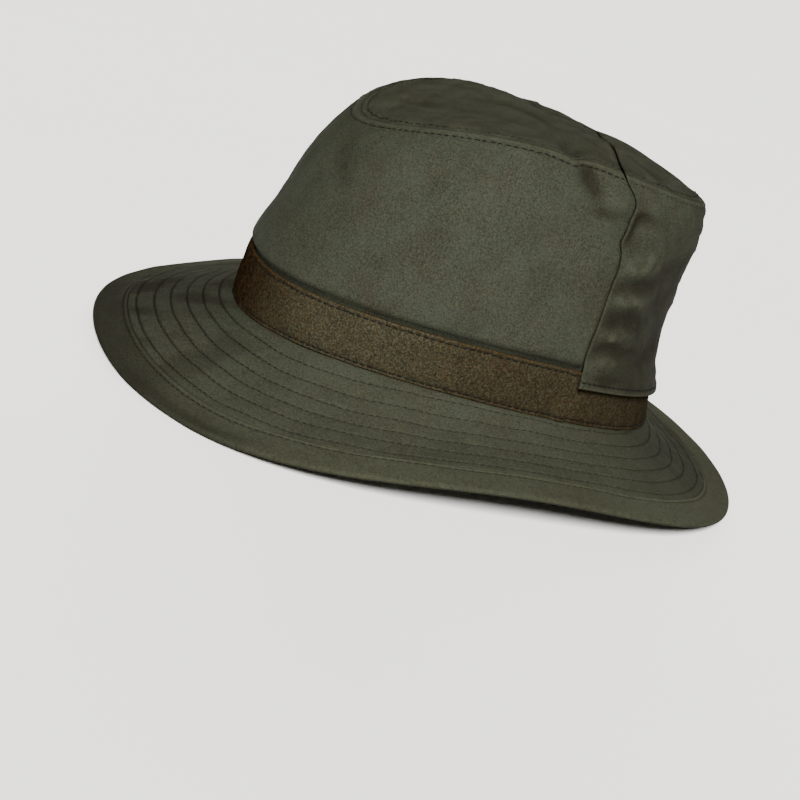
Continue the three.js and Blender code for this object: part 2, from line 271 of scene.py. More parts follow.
# How far the stitched rows of the brim lie inside the border's seam, before they spread
ROWS = [TOPSTITCH_INSIDE] + [ROW_FIRST + ROW_STEP * row for row in range(ROW_COUNT)]
BRIM_REACH = 56

# Steps of the meshes: along the surface, and next to a rounded edge
WALL_STEP = 1.6
BRIM_STEP = 1.5
BORDER_STEP = 1.2
BAND_STEP = 1.4
BAND_LONG_STEP = 1.2
FLAP_STEP = 1.5
BINDING_STEP = 0.8
CROWN_COLUMNS = 400
BRIM_COLUMNS = 480
TIP_ROWS = 130
# The cover's wall is about this long and high where its points are spaced.
COVER_LENGTH = 240
COVER_HEIGHT = CROWN_HEIGHT - 17
EDGE_STEPS = np.array([0, 0.1, 0.3, 0.6, 1.0, 1.6])
LINE_STEPS = np.array([-0.9, -0.45, -0.2, 0, 0.2, 0.45, 0.9])
CLOSEST = 0.09


def hump(share):
    """Rises from 0 to 1 in the middle and back to 0."""
    return 4 * share * (1 - share)


def smooth(low, high, value):
    """Eases from 0 at the low value to 1 at the high value."""
    share = np.clip((value - low) / (high - low), 0, 1)
    return share * share * (3 - 2 * share)


def mix(low, high, share):
    """A value that lies at a share of the way from low to high."""
    return low + (high - low) * share


def wrap(angle):
    """The same direction as a turn from -180 to 180 degrees."""
    return (angle + 180) % 360 - 180


def bell(distance, width):
    """1 at no distance, falling to 0 on both sides over about twice the width."""
    return np.exp(-((distance / width) ** 2))


def ripple(at, size, seed):
    """An uneven wave of about unit height through space, with crests about a size apart."""
    draw = np.random.default_rng(seed)
    total = 0
    for _ in range(RIPPLE_WAVES):
        way = draw.normal(size=3)
        way *= draw.uniform(0.7, 1.4) * 2 * np.pi / size / np.linalg.norm(way)
        total = total + np.sin(at @ way + draw.uniform(0, 2 * np.pi))
    return total / math.sqrt(RIPPLE_WAVES / 2)


def crumple(at, size, seed):
    """Sharp shallow creases in patches, about one unit deep."""
    crease = 0.8 - np.abs(ripple(at, size, seed))
    return crease * np.clip(0.5 + ripple(at, size * 4, seed + 1), 0, 1)


def patches(at, size, seed):
    """Soft patches of strength 0 to 1, about a size across, with plain cloth between them."""
    return np.clip(ripple(at, size, seed), 0, 1)


def rolled(distance, radius):
    """How far a face falls back at a distance from a rounded edge."""
    inside = np.clip(1 - distance / radius, 0, 1)
    return radius * (1 - np.sqrt(1 - inside**2))


def spaced(length, step, lines=()):
    """Shares from 0 to 1 of a length, about a step apart, and closer next to both ends and to
    the lines, which are given as distances from the start."""
    close = [EDGE_STEPS, length - EDGE_STEPS] + [line + LINE_STEPS for line in lines]
    close = np.sort(np.concatenate(close).clip(0, length))
    even = np.linspace(0, length, max(2, round(length / step)) + 1)
    away = np.abs(even[:, None] - close).min(1) > step / 2
    places = np.sort(np.concatenate([close, even[away]]))
    kept = np.concatenate([[True], np.diff(places) > CLOSEST])
    places = places[kept]
    places[-1] = length
    return places / length


def round_the_hat(column, angle):
    """A smooth even curve round the hat through the values of one column."""
    values = np.array(ROUND_THE_HAT[column])
    last = len(values) - 1
    steps = np.arange(last + 1)
    half = np.where(steps % last == 0, 0.5, 1)
    total = 0
    for wave in steps:
        size = (half * values * np.cos(wave * steps * np.pi / last)).sum()
        total = total + size * half[wave] * 2 / last * np.cos(wave * np.radians(angle))
    return total


def foot(angle):
    """The foot of the band: an oval whose height waves round the hat."""
    a = np.radians(angle)
    return np.stack([
        FOOT_WIDTH / 2 * np.sin(a),
        -FOOT_LENGTH / 2 * np.cos(a) + CENTRE_Y,
        JOIN_HEIGHT + FOOT_WAVE * round_the_hat("foot", angle),
    ], -1)


def outward(angle):
    """The level direction straight out from the foot oval."""
    a = np.radians(angle)
    way = np.stack([np.sin(a) / FOOT_WIDTH, -np.cos(a) / FOOT_LENGTH, 0 * a], -1)
    return way / np.linalg.norm(way, axis=-1, keepdims=True)


def tip_fold(side, back, folds):
    """The folds of the tip at a point, as a share of the crease size."""
    total = 0
    for fold_side, fold_back, long, wide, turn, depth in folds:
        turn = math.radians(turn)
        x, y = side - fold_side, back - fold_back
        along = (x * math.cos(turn) + y * math.sin(turn)) / long
        across = (y * math.cos(turn) - x * math.sin(turn)) / wide
        total = total + depth * np.exp(-(along**2) - across**2)
    return total


def tip_height(side, back):
    """How high the tip stands at a share of its half width and half length."""
    reach = np.minimum(np.hypot(side, back), 1)
    angle = np.degrees(np.arctan2(side, -back))
    middle = JOIN_HEIGHT + CROWN_HEIGHT
    seam = JOIN_HEIGHT + CROWN_HEIGHT * round_the_hat("seam", angle)
    dome = DOME_HEIGHT * (1 - reach**DOME_POWER)
    folds = CREASE * tip_fold(side, back, TIP_FOLDS + TIP_CREASES)
    return mix(middle, seam, reach**2) + dome + folds


def tip_plan(side, back):
    """A point of the tip's plain face at a share of its half width and half length."""
    return np.stack([
        TIP_WIDTH / 2 * side,
        TIP_LENGTH / 2 * back + TIP_SET_BACK + CENTRE_Y,
        tip_height(side, back),
    ], -1)


def tip_rim(angle):
    """A point of the tip's rim at an angle from the front."""
    a = np.radians(angle)
    return tip_plan(np.sin(a), -np.cos(a))


def wall_fold(angle, up, folds):
    """The folds of the wall at a point, as a share of the crease size."""
    total = 0
    for fold_angle, fold_up, long, wide, lean, depth in folds:
        x = np.radians(wrap(angle - fold_angle)) * FOOT_WIDTH / 2 / CROWN_HEIGHT
        y = up - fold_up
        lean = math.radians(lean)
        along = (y * math.cos(lean) + x * math.sin(lean)) / long
        across = (x * math.cos(lean) - y * math.sin(lean)) / wide
        total = total + depth * np.exp(-(along**2) - across**2)
    return total


def wall_height(angle):
    """How high the tip's rim stands above the foot of the band."""
    return tip_rim(angle)[..., 2] - foot(angle)[..., 2]


def rise(angle, height):
    """The share of the wall's height that a height in millimetres makes up."""
    return height / wall_height(angle)


def wall(angle, up, inset):
    """The crown's outer face at an angle and a share of the height, moved in by a level inset."""
    at = mix(foot(angle), tip_rim(angle), up[..., None])
    belly = BELLY * round_the_hat("belly", angle) * hump(up)
    shoulder = BELLY * round_the_hat("shoulder", angle) * SHOULDER_SCALE
    shoulder = shoulder * up**SHOULDER_POWER * (1 - up)
    free = smooth(FOLDS_START, FOLDS_FULL, up) * (1 - up**SEAM_HOLD_POWER)
    behind = np.abs(wrap(angle)) - COVER_START
    loose = CRUMPLE * mix(1, COVER_CRUMPLE, smooth(-LOOSE_EASE, LOOSE_EASE, behind))
    waves = RIPPLE * ripple(at, *WAVES["wall"])
    waves = waves + loose * crumple(at, *WAVES["wall creases"])
    settled = smooth(0, EDGE_CALM, np.abs(behind_edge(angle, up)))
    small = settled * wall_fold(angle, up, WALL_CREASES)
    folds = CREASE * (wall_fold(angle, up, WALL_FOLDS) + small) + waves
    push = belly + shoulder + folds * free - inset
    return at + outward(angle) * push[..., None]


def cover_start(angle, up):
    """The angle at which the cover begins, on this side of the hat and at this height."""
    start = COVER_START
    for swing_up, reach, left, right in EDGE_SWINGS:
        turn = np.where(wrap(angle) > 0, left, right)
        start = start + turn * bell(up - swing_up, reach)
    return start


def behind_edge(angle, up):
    """How far a point of the wall lies behind the cover's front edge."""
    return (np.abs(wrap(angle)) - cover_start(angle, up)) * ALONG_PER_DEGREE


def rim_start(side):
    """The angle at which the cover begins on the tip's rim, on the wearer's left or right."""
    return cover_start(np.array(side * 90.0), np.array(1.0))


def behind_line(x, y):
    """How far a point of the tip lies behind the cover's front edge."""
    left, right = tip_rim(rim_start(1)), tip_rim(-rim_start(-1))
    share = np.clip((x - right[0]) / (left[0] - right[0]), 0, 1)
    return y - mix(right[1], left[1], share) - EDGE_BOW * hump(share)


def proud(behind):
    """How far the cover's front edge stands out, easing back behind it."""
    return COVER_PROUD * (1 - smooth(0, COVER_PROUD_REACH, behind))


def under_cover(behind):
    """How far the crown keeps back at and behind the cover's front edge."""
    return (COVER_INSET - proud(np.maximum(behind, 0))) * smooth(-EDGE_SLOPE, 0, behind)


def seam_relief(distance, at):
    """The rise of the cloth beside a topstitched seam, at a distance from the seam's crease."""
    ridge = SEAM_RIDGE * bell(distance - SEAM_STITCH / 2, SEAM_STITCH / 3)
    groove = SEAM_GROOVE * bell(distance - SEAM_STITCH, GROOVE_WIDTH)
    puckered = bell(distance - SEAM_STITCH - 1, PUCKER_REACH) * (distance > 0)
    return ridge - groove + PUCKER * puckered * ripple(at, *WAVES["puckers"])


def seam_mark(distance):
    """Where dirt and shade gather beside a topstitched seam."""
    return np.clip(0.35 * bell(distance, 0.3) + 0.35 * bell(distance - SEAM_STITCH, 0.4), 0, 1)


def seam_light_line(distance):
    """A lighter line painted beside a topstitched seam, near the ridge by its crease."""
    return 0.5 * bell(distance - SEAM_STITCH / 3, 0.38)


def painted_fold_shade(fold):
    """Painted shade in a dent of the cloth, from its depth."""
    return np.clip(-1.5 * fold, 0, 1)


def fold_painted_highlight(fold, at):
    """Painted highlight on a raised fold of the cloth, in patches, from its height."""
    share = np.clip(0.5 + 0.4 * ripple(at, *WAVES["fold highlight"]), 0.1, 0.9)
    return np.clip(fold, 0, 1) * share


def crown_face(angle, up, deeper=0.0):
    """The crown wall's outer face, or a face that lies deeper in the cloth."""
    height = wall_height(angle)
    above = up * height - BAND_HEIGHT - GAP
    behind = behind_edge(angle, up)
    shown = -CLOTH_OVER_BAND * (1 - smooth(CLOTH_EASE, BULGE_REACH, above))
    upper = shown * (1 - smooth(-EDGE_SLOPE, 0, behind)) + under_cover(behind)
    inset = mix(BAND_INSET, upper, smooth(0, CLOTH_EASE, above))
    if deeper == 0:
        top = crown_top(angle, behind)
        below = (top - up) * height
        relief = seam_relief(below, wall(angle, up, 0)) * (behind < 0)
        inset = inset - relief + rolled(below, CLOTH - EDGE_LEFT)
    return wall(angle, up, inset + deeper)


def crown_top(angle, behind):
    """The share of the height at which the crown's wall ends, round the edge of the tip."""
    return 1 - rise(angle, SEAM_GAP + under_cover(behind))


def cover_face(angle, up, deeper=0.0):
    """The cover wall's outer face, with its hem rolled over the band."""
    height = wall_height(angle)
    above = up * height - BAND_HEIGHT
    behind = behind_edge(angle, up)
    stands = COVER_INSET * (1 - smooth(GAP, COVER_EASE, above))
    stands = stands + HEM_FLARE * (1 - smooth(-COVER_LAP, 0, above)) + proud(behind)
    from_hem = above + COVER_LAP
    below = (1 - up) * height - SEAM_GAP
    fall = rolled(np.minimum(from_hem, behind), COVER_THICKNESS * ROUND_SHARE)
    if deeper == 0:
        hem = HEM_ROLL * (1 - smooth(HEM_WIDTH - 1, HEM_WIDTH + 1, from_hem))
        hem = hem - SEAM_GROOVE * bell(from_hem - HEM_STITCH, GROOVE_WIDTH)
        relief = seam_relief(below, wall(angle, up, 0))
        top = rolled(below, COVER_THICKNESS - EDGE_LEFT)
        return wall(angle, up, np.maximum(fall, top) - stands - hem - relief)
    return wall(angle, up, -stands + deeper - fall)


def rim_distance(side, back):
    """How far a point of the tip lies in from its rim."""
    reach = np.maximum(np.hypot(side, back), 1e-6)
    radius = np.hypot(TIP_WIDTH / 2 * side, TIP_LENGTH / 2 * back) / reach
    return np.maximum((1 - reach) * radius, 0)


def tip_face(side, back, lift, thickness, deeper, edge=None):
    """A tip's upper or lower face, lifted by a height. edge is how far each point lies from the
    front edge, where the piece has one."""
    at = tip_plan(side, back)
    rim = rim_distance(side, back)
    waves = TIP_RIPPLE * ripple(at, *WAVES["tip"])
    waves = waves + TIP_CRUMPLE * crumple(at, *WAVES["tip creases"])
    at[..., 2] += lift + waves * smooth(1, TIP_CALM, rim)
    fall = 0 if edge is None else rolled(edge, thickness * ROUND_SHARE)
    if deeper:
        at[..., 2] += fall - thickness
    else:
        at[..., 2] += seam_relief(rim, at) - np.maximum(rolled(rim, TIP_ROLL), fall)
    return at


def drawn_in(at, side, back, margin):
    """A face of the tip, made smaller so that its rim lies inside the wall by a margin."""
    level = margin * np.hypot(side, back)
    at[..., 0] *= 1 - level / (TIP_WIDTH / 2)
    middle = TIP_SET_BACK + CENTRE_Y
    at[..., 1] = mix(middle, at[..., 1], 1 - level / (TIP_LENGTH / 2))
    return at


def crown_tip_face(side, back, deeper=False):
    """The tip's upper or lower face, sunk where the cover lies over it."""
    at = tip_plan(side, back)
    sunk = under_cover(behind_line(at[..., 0], at[..., 1]))
    made = tip_face(side, back, -sunk, CLOTH, deeper)
    return drawn_in(made, side, back, sunk + CLOTH - SEAM_TUCK)


def cover_tip_face(side, back, deeper=False):
    """The upper or lower face of the cover's half of the top."""
    at = tip_plan(side, back)
    behind = behind_line(at[..., 0], at[..., 1])
    made = tip_face(side, back, proud(behind), COVER_THICKNESS, deeper, behind)
    return drawn_in(made, side, back, COVER_THICKNESS - proud(behind) - SEAM_TUCK)


def brim_width(angle):
    """How far the brim's rim lies out from the foot of the band."""
    return BRIM_WIDTH * round_the_hat("width", angle)


def seam_out(angle):
    """How far the border's seam lies out from the foot of the band."""
    return brim_width(angle) - BORDER_WIDTH


def underside(angle, out):
    """The plain underside of the brim at a distance out from the foot."""
    width = brim_width(angle)
    rim = JOIN_HEIGHT - BRIM_DROP * round_the_hat("drop", angle) - BRIM_THICKNESS / 2
    share = np.clip(out / width, 0, 1)
    sag = BRIM_DROP * round_the_hat("sag", angle) * hump(share)
    sag = sag * (1 + SAG_LEAN * (1 - 2 * share))
    slope = mix(foot(angle)[..., 2] - BRIM_THICKNESS, rim, share) - sag
    resting = 1 - smooth(0, REST_REACH, rim)
    laid = resting * smooth(width - REST_WIDTH - REST_EASE, width - REST_WIDTH, out)
    at = foot(angle) + outward(angle) * out[..., None]
    at[..., 2] = np.maximum(mix(slope, rim, laid), 0)
    return at


def row_distance(angle, even):
    """How far a line of the brim lies inside the border's seam, from its even distance."""
    return even * round_the_hat("row_spread", angle)


def brim_grooves(angle, out):
    """1 along each stitched row of the brim's inner ring, falling to 0 beside it."""
    inside = seam_out(angle) - out
    return sum(bell(inside - row_distance(angle, even), GROOVE_WIDTH) for even in ROWS)


def brim_face(angle, out, top):
    """The brim's inner ring, quilted between its stitched rows."""
    at = underside(angle, out)
    inside = seam_out(angle) - out
    plain = smooth(-2, 2, out)
    uneven = 1 + ROW_UNEVEN * ripple(at, *WAVES["rows"])
    depth = round_the_hat("row_depth", angle)
    relief = ROW_PAD * (0.5 + depth) * (1 - brim_grooves(angle, out))
    relief = (relief - ROW_GROOVE * depth * brim_grooves(angle, out)) * plain * uneven
    fall = rolled(inside, SEAM_ROLL)
    wave = BRIM_RIPPLE * ripple(at, *WAVES["brim"]) * plain
    if top:
        at[..., 2] += BRIM_THICKNESS + relief - fall + np.maximum(wave, BRIM_RIPPLE_LEAST)
    else:
        at[..., 2] = np.maximum(at[..., 2] - relief * BRIM_UNDER_SHARE + fall + wave, 0)
    return at


def border_face(angle, out, top):
    """The smooth border round the brim's rim."""
    at = underside(angle, out)
    beyond = out - seam_out(angle)
    groove = BORDER_GROOVE * bell(beyond - TOPSTITCH_OUTSIDE, GROOVE_WIDTH)
    to_rim = brim_width(angle) - out
    thick = BRIM_THICKNESS + BORDER_RISE * (1 - smooth(0, BORDER_WIDTH, beyond) * 0.5)
    fall = rolled(beyond, SEAM_ROLL) + rolled(to_rim, BRIM_THICKNESS * ROUND_SHARE)
    if top:
        wave = BORDER_RIPPLE * ripple(at, *WAVES["border"])
        at[..., 2] += thick - groove - fall + wave
    else:
        at[..., 2] += fall + groove * BORDER_UNDER_SHARE
    return at


def band_face(angle, height, lift, thickness, deeper):
    """The leather band, with a groove along both stitched rows."""
    from_edge = np.minimum(height - GAP, BAND_HEIGHT - height)
    groove = BAND_GROOVE * bell(from_edge - BAND_STITCH, BAND_GROOVE_WIDTH)
    fall = rolled(from_edge, BAND_THICKNESS * BAND_ROUND_SHARE)
    inset = lift + (thickness - fall * BAND_INSIDE_SHARE if deeper else groove + fall)
    at = wall(angle, rise(angle, height), inset)
    if not deeper:
        wave = BAND_RIPPLE * ripple(at, *WAVES["band"])
        at = at + outward(angle) * wave[..., None]
    return at


def flap_point(side, across, up, depth):
    """A point of an ear flap folded up inside the crown."""
    angle = side * 90 + np.degrees(across / (FOOT_LENGTH / 2))
    return wall(angle, rise(angle, FLAP_LIFT + up), FLAP_INSET + depth)


def flap_half_width(share):
    """Half a flap's width at a share of its length: straight sides and a round end."""
    bend = np.maximum(share - FLAP_STRAIGHT_SHARE, 0) / (1 - FLAP_STRAIGHT_SHARE)
    return mix(1, FLAP_END_TAPER, share) * np.sqrt(np.maximum(1 - bend * bend, 0))


def shell_faces(rows, columns, ring):
    """Faces that close a grid of outer points and a grid of inner points into one body."""
    step = np.arange(columns if ring else columns - 1)
    after = (step + 1) % columns
    count = rows * columns
    r = (np.arange(rows - 1) * columns)[:, None]
    quads = [
        np.stack([r + step, r + after, r + columns + after, r + columns + step], -1),
        count + np.stack([r + step, r + columns + step, r + columns + after, r + after], -1),
    ]
    top = (rows - 1) * columns
    quads.append(np.stack([step, count + step, count + after, after], -1))
    quads.append(top + np.stack([step, after, count + after, count + step], -1))
    if not ring:
        row = r[:, 0]
        end = columns - 1
        near = [row, row + columns, count + row + columns, count + row]
        far = [row + end, count + row + end, count + row + columns + end, row + columns + end]
        quads += [np.stack(near, -1), np.stack(far, -1)]
    return np.concatenate([q.reshape(-1, 4) for q in quads])


def set_out(name, data):
    """A new object in the scene."""
    made = bpy.data.objects.new(name, data)
    bpy.context.scene.collection.objects.link(made)
    return made


def carry(mesh, label, kind, values):
    """Gives each point of a mesh a number or a vector that a finish or a stitch reads."""
    layer = mesh.attributes.new(label, kind, "POINT")
    field = "value" if kind == "FLOAT" else "vector"
    layer.data.foreach_set(field, np.ascontiguousarray(values, np.float32).ravel())


def outside(**marks):
    """Marks for the outer face of a piece, with none on its inner face."""
    return {label: (values, values * 0) for label, values in marks.items()}


def piece(node, slot, outer, inner, ring, cloth, marks):
    """One closed piece of cloth or leather in its node's place, from two grids of points in
    millimetres, [row, column]. cloth gives each point's place on the flat cloth in millimetres,
    and marks are other values for the finish, as pairs for the outer and the inner grid."""
    kind, finish = KINDS[slot]
    name = f"{node}_{kind}"
    rows, columns = outer.shape[:2]
    points = np.concatenate([outer.reshape(-1, 3), inner.reshape(-1, 3)]) * MM
    mesh = bpy.data.meshes.new(name)
    mesh.from_pydata(points.tolist(), [], shell_faces(rows, columns, ring).tolist())
    carry(mesh, "cloth", "FLOAT2", np.concatenate([cloth.reshape(-1, 2)] * 2))
    for label, values in marks.items():
        carry(mesh, label, "FLOAT", np.concatenate([np.ravel(v) for v in values]))
    merged = bmesh.new()
    merged.from_mesh(mesh)
    bmesh.ops.remove_doubles(merged, verts=merged.verts, dist=SAME_PLACE)
    merged.to_mesh(mesh)
    merged.free()
    mesh.shade_smooth()
    made = set_out(name, mesh)
    mesh.materials.append(finish)
    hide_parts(node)
    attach(made, "root")


# Finishes


def colour(text):
    """A linear colour from an sRGB hex value."""
    parts = [int(text[i : i + 2], 16) / 255 for i in (0, 2, 4)]
    linear = [p / 12.92 if p <= 0.04045 else ((p + 0.055) / 1.055) ** 2.4 for p in parts]
    return (*linear, 1)


def add(tree, kind, settings=None, inputs=None):
    """One node with its settings, and its inputs as values or as links from other sockets."""
    made = tree.nodes.new(kind)
    for label, value in (settings or {}).items():
        setattr(made, label, value)
    for label, value in (inputs or {}).items():
        if isinstance(value, bpy.types.NodeSocket):
            tree.links.new(value, made.inputs[label])
        else:
            made.inputs[label].default_value = value
    return made


def start_finish(name):
    """An empty material and its node tree."""
    finish = bpy.data.materials.new(name)
    finish.use_nodes = True
    finish.node_tree.nodes.clear()
    return finish, finish.node_tree


def speckle(tree, size, low, high, least=0.0, most=1.0, detail=3, rough=0.7):
    """Patches about a size in millimetres, whose strength runs from the least to the most."""
    place = add(tree, "ShaderNodeTexCoord").outputs["Object"]
    inputs = {"Vector": place, "Scale": 1 / (size * MM), "Detail": detail, "Roughness": rough}
    noise = add(tree, "ShaderNodeTexNoise", None, inputs).outputs["Fac"]
    inputs = {"Value": noise, "From Min": low, "From Max": high, "To Min": least, "To Max": most}
    return add(tree, "ShaderNodeMapRange", {"clamp": True}, inputs).outputs["Result"]


def flecked(tree, base, paint, size, low, high, most=1.0, detail=3, rough=0.7):
    """The base colour with flecks of another, about a size in millimetres."""
    share = speckle(tree, size, low, high, 0.0, most, detail, rough)
    inputs = {0: share, 6: base, 7: colour(paint)}
    return add(tree, "ShaderNodeMix", {"data_type": "RGBA"}, inputs).outputs[2]


def marked(tree, base, paint, label, strength):
    """The base colour with another wherever the piece carries a mark."""
    carried = add(tree, "ShaderNodeAttribute", {"attribute_name": label}).outputs["Fac"]
    inputs = {0: carried, 1: strength}
    share = add(tree, "ShaderNodeMath", {"operation": "MULTIPLY"}, inputs).outputs[0]
    inputs = {0: share, 6: base, 7: colour(paint)}
    return add(tree, "ShaderNodeMix", {"data_type": "RGBA"}, inputs).outputs[2]


def woven_ribs(tree, pitch, turn, least, most):
    """The ribs of a weave a pitch apart in millimetres, turned on the flat cloth."""
    flat = add(tree, "ShaderNodeAttribute", {"attribute_name": "cloth"}).outputs["Vector"]
    turned = {"Vector": flat, "Rotation": (0, 0, math.radians(turn))}
    place = add(tree, "ShaderNodeMapping", None, turned).outputs["Vector"]
    wave = {"Vector": place, "Scale": math.pi / 10 / pitch, "Distortion": 0.6}
    wave.update({"Detail": 1, "Detail Scale": 0.4})
    ribs = add(tree, "ShaderNodeTexWave", {"bands_direction": "X"}, wave).outputs["Fac"]
    inputs = {"Value": ribs, "To Min": least, "To Max": most}
    return add(tree, "ShaderNodeMapRange", None, inputs).outputs["Result"]


def close_finish(tree, base, rough, reliefs, **constants):
    """Ends a finish with its reliefs, patterns of height in millimetres that lie on each other."""
    height = reliefs[0]
    for relief in reliefs[1:]:
        inputs = {0: height, 1: relief}
        height = add(tree, "ShaderNodeMath", {"operation": "ADD"}, inputs).outputs[0]
    inputs = {"Height": height, "Strength": 1.0, "Distance": MM}
    normal = add(tree, "ShaderNodeBump", None, inputs).outputs["Normal"]
    inputs = {"Base Color": base, "Roughness": rough, "Normal": normal, **constants}
    shader = add(tree, "ShaderNodeBsdfPrincipled", None, inputs).outputs["BSDF"]
    add(tree, "ShaderNodeOutputMaterial", None, {"Surface": shader})


def waxed_cotton():
    """Waxed cotton twill, woven, dyed olive and dressed with wax. The eye sees a dull, mottled
    cloth with a fine grain, brown flecks where the wax took up dust, and dark lines in the
    seams, with painted shade in its dents and shaded places and painted light on its lit parts."""
    finish, tree = start_finish("waxed_cotton_twill")
    base = flecked(tree, colour("1d1f19"), "22251f", 16, 0.38, 0.62)
    base = flecked(tree, base, "211b15", 22, 0.5, 0.66, 0.55, 5)
    base = flecked(tree, base, "2e3026", 0.8, 0.37, 0.65, 0.95, 2, 0.75)
    base = flecked(tree, base, "2f2114", 1.5, 0.6, 0.72, 0.42, 2, 0.75)
    base = flecked(tree, base, "10110c", 0.85, 0.54, 0.68, 0.5, 2)
    # Painted shade, with uneven patches of darker tone
    base = marked(tree, base, "0f0b07", "shade", 0.66)
    # Dark seams, with painted shadow along the cover's edge and painted shade above the band
    base = marked(tree, base, "080806", "seam", 0.6)
    # Lighter wear, with painted light on raised folds, the hem, the front edge and the sides of
    # the brim
    base = marked(tree, base, "3a3b2d", "worn", speckle(tree, 2.5, 0.3, 0.7, 0.2, 0.8))
    rough = speckle(tree, 12, 0.3, 0.7, 0.66, 0.84, 4)
    # A real thread is 0.3 mm; 0.55 mm is the finest rib that still shows.
    reliefs = [woven_ribs(tree, 0.55, 52, 0, 0.035), speckle(tree, 1.2, 0, 1, 0, 0.1),
               speckle(tree, 7, 0, 1, 0, 0.3)]
    close_finish(tree, base, rough, reliefs, **{"IOR": 1.45, "Specular IOR Level": 0.02})
    return finish


def waxed_suede():
    """Waxed split leather, cut with raw edges. The eye sees a brown nap with olive and rust
    flecks, a lighter orange fibre along each cut edge, and painted shade towards its front end."""
    finish, tree = start_finish("waxed_split_leather")
    base = flecked(tree, colour("1f1e16"), "252319", 18, 0.35, 0.65, 1.0, 4)
    base = flecked(tree, base, "2e1f0e", 2.4, 0.5, 0.62, 0.32, 3, 0.75)
    base = flecked(tree, base, "3c3b2e", 0.9, 0.45, 0.62, 0.6, 2, 0.7)
    # Darker rust-brown, which towards the front end is painted shade
    base = marked(tree, base, "140902", "rubbed", speckle(tree, 2.2, 0.4, 0.6, 0.6, 1.0))
    base = flecked(tree, base, "39270f", 1.4, 0.57, 0.67, 0.34, 2, 0.7)
    base = flecked(tree, base, "0c0a07", 0.95, 0.52, 0.66, 0.62, 2, 0.7)
    # Dark stitch lines, and painted shade under the cover's hem
    base = marked(tree, base, "070502", "seam", 0.6)
    base = marked(tree, base, "50320f", "worn", speckle(tree, 2, 0.35, 0.65, 0.1, 1.0))
    rough = speckle(tree, 9, 0.3, 0.7, 0.58, 0.82)
    reliefs = [speckle(tree, 1.4, 0, 1, 0, 0.22, 4), speckle(tree, 6, 0, 1, 0, 0.3)]
    close_finish(tree, base, rough, reliefs, **{"IOR": 1.48, "Specular IOR Level": 0.0})
    return finish


def brushed_lining():
    """Brushed cotton flannel, woven and napped. The eye sees a soft dark grey-green, no shine."""
    finish, tree = start_finish("brushed_cotton_flannel")
    base = flecked(tree, colour("191b16"), "282a22", 2.5, 0, 1, 1.0, 4)
    base = marked(tree, base, "17170f", "seam", 0.6)
    reliefs = [speckle(tree, 0.9, 0, 1, 0, 0.15), speckle(tree, 5, 0, 1, 0, 0.3)]
    close_finish(tree, base, 0.92, reliefs, **{
        "Specular IOR Level": 0.2, "Sheen Weight": 0.35, "Sheen Roughness": 0.6,
    })
    return finish


def woven_tape():
    """Black polyester binding tape, woven with a fine cross rib. The eye sees a soft low shine."""
    finish, tree = start_finish("woven_polyester_tape")
    base = flecked(tree, colour("141414"), "272725", 1.2, 0.3, 0.7)
    base = marked(tree, base, "0a0a0a", "seam", 0.5)
    reliefs = [woven_ribs(tree, 0.7, 0, 0, 0.12), speckle(tree, 4, 0, 1, 0, 0.15, 2)]
    close_finish(tree, base, 0.68, reliefs, **{"Specular IOR Level": 0.4})
    return finish


def spun_thread(name, dark, light):
    """Spun polyester sewing thread, twisted. The eye sees short dark dashes with a dull shine."""
    finish, tree = start_finish(name)
    base = flecked(tree, colour(dark), light, 0.8, 0.2, 0.8, 1.0, 2)
    relief = speckle(tree, 0.4, 0, 1, 0, 0.05, 2)
    close_finish(tree, base, 0.75, [relief], **{"Specular IOR Level": 0.06})
    return finish


def painted_floor():
    """Matt white paint on board. The eye sees a plain pale ground with a soft shadow."""
    finish, tree = start_finish("matt_white_paint")
    base = flecked(tree, colour("efeeeb"), "f3f2ef", 300, 0, 1, 1.0, 2)
    relief = speckle(tree, 4, 0, 1, 0, 0.02, 2)
    close_finish(tree, base, 0.85, [relief], **{"Specular IOR Level": 0.2})
    return finish


# What each slot is made of, and its finish
KINDS = {
    "waxed_cotton": ("cloth", waxed_cotton()),
    "band_leather": ("leather", waxed_suede()),
    "flap_cloth": ("cloth", brushed_lining()),
    "flap_tape": ("tape", woven_tape()),
}
dark_thread = spun_thread("dark_brown_thread", "070706", "12110d")
black_thread = spun_thread("black_thread", "060605", "100f0c")


# The brim


def around(columns):
    """Even angles round the hat for a piece that closes on itself."""
    return np.linspace(0, 360, columns, endpoint=False)


def brim_piece():
    """The brim's inner ring, from under the band to the border's seam."""
    ledge = -(BAND_INSET + CLOTH)
    evens = BRIM_REACH * spaced(BRIM_REACH, BRIM_STEP, ROWS)[::-1]
    angle, even = np.meshgrid(around(BRIM_COLUMNS), evens)
    out = np.maximum(seam_out(angle) - row_distance(angle, even), ledge)
    over, under = brim_face(angle, out, True), brim_face(angle, out, False)
    inside = seam_out(angle) - out
    depth = round_the_hat("row_depth", angle)
    # The rows are dark where they are deep, at the front and the rear.
    seam = brim_grooves(angle, out) * (0.08 + 0.75 * depth)
    seam = np.clip(seam + (0.15 + 0.4 * depth) * bell(inside, 0.35), 0, 1)
    # Painted shade at the front, most on the wearer's right, and at the rear; uneven patches all
    # round.
    turn = np.abs(wrap(angle))
    shaded_front = smooth(*SHADED_FRONT_LEFT, wrap(angle)) * smooth(*SHADED_FRONT_RIGHT, wrap(angle))
    front = patches(over, *WAVES["front of the brim"]) * smooth(*FRONT_PATCHY, turn)
    patchy = patches(over, *WAVES["brim shade"])
    shade = 0.5 * shaded_front + 0.5 * front + 0.35 * smooth(*REAR_SHADED, turn) + 0.12 * patchy
    # Painted light on the sides of the brim, and a lighter line beside the border's seam
    rubbed = smooth(*SIDE_LIT, turn) * smooth(*REAR_UNLIT, turn)
    worn = bell(inside - TOPSTITCH_INSIDE / 2, 0.9) * 0.2 + 0.45 * rubbed
    marks = {"seam": (seam, seam), "worn": (worn, worn * 0.5), "shade": (shade, shade)}
    piece("brim", "waxed_cotton", under, over, True, over[..., :2], marks)


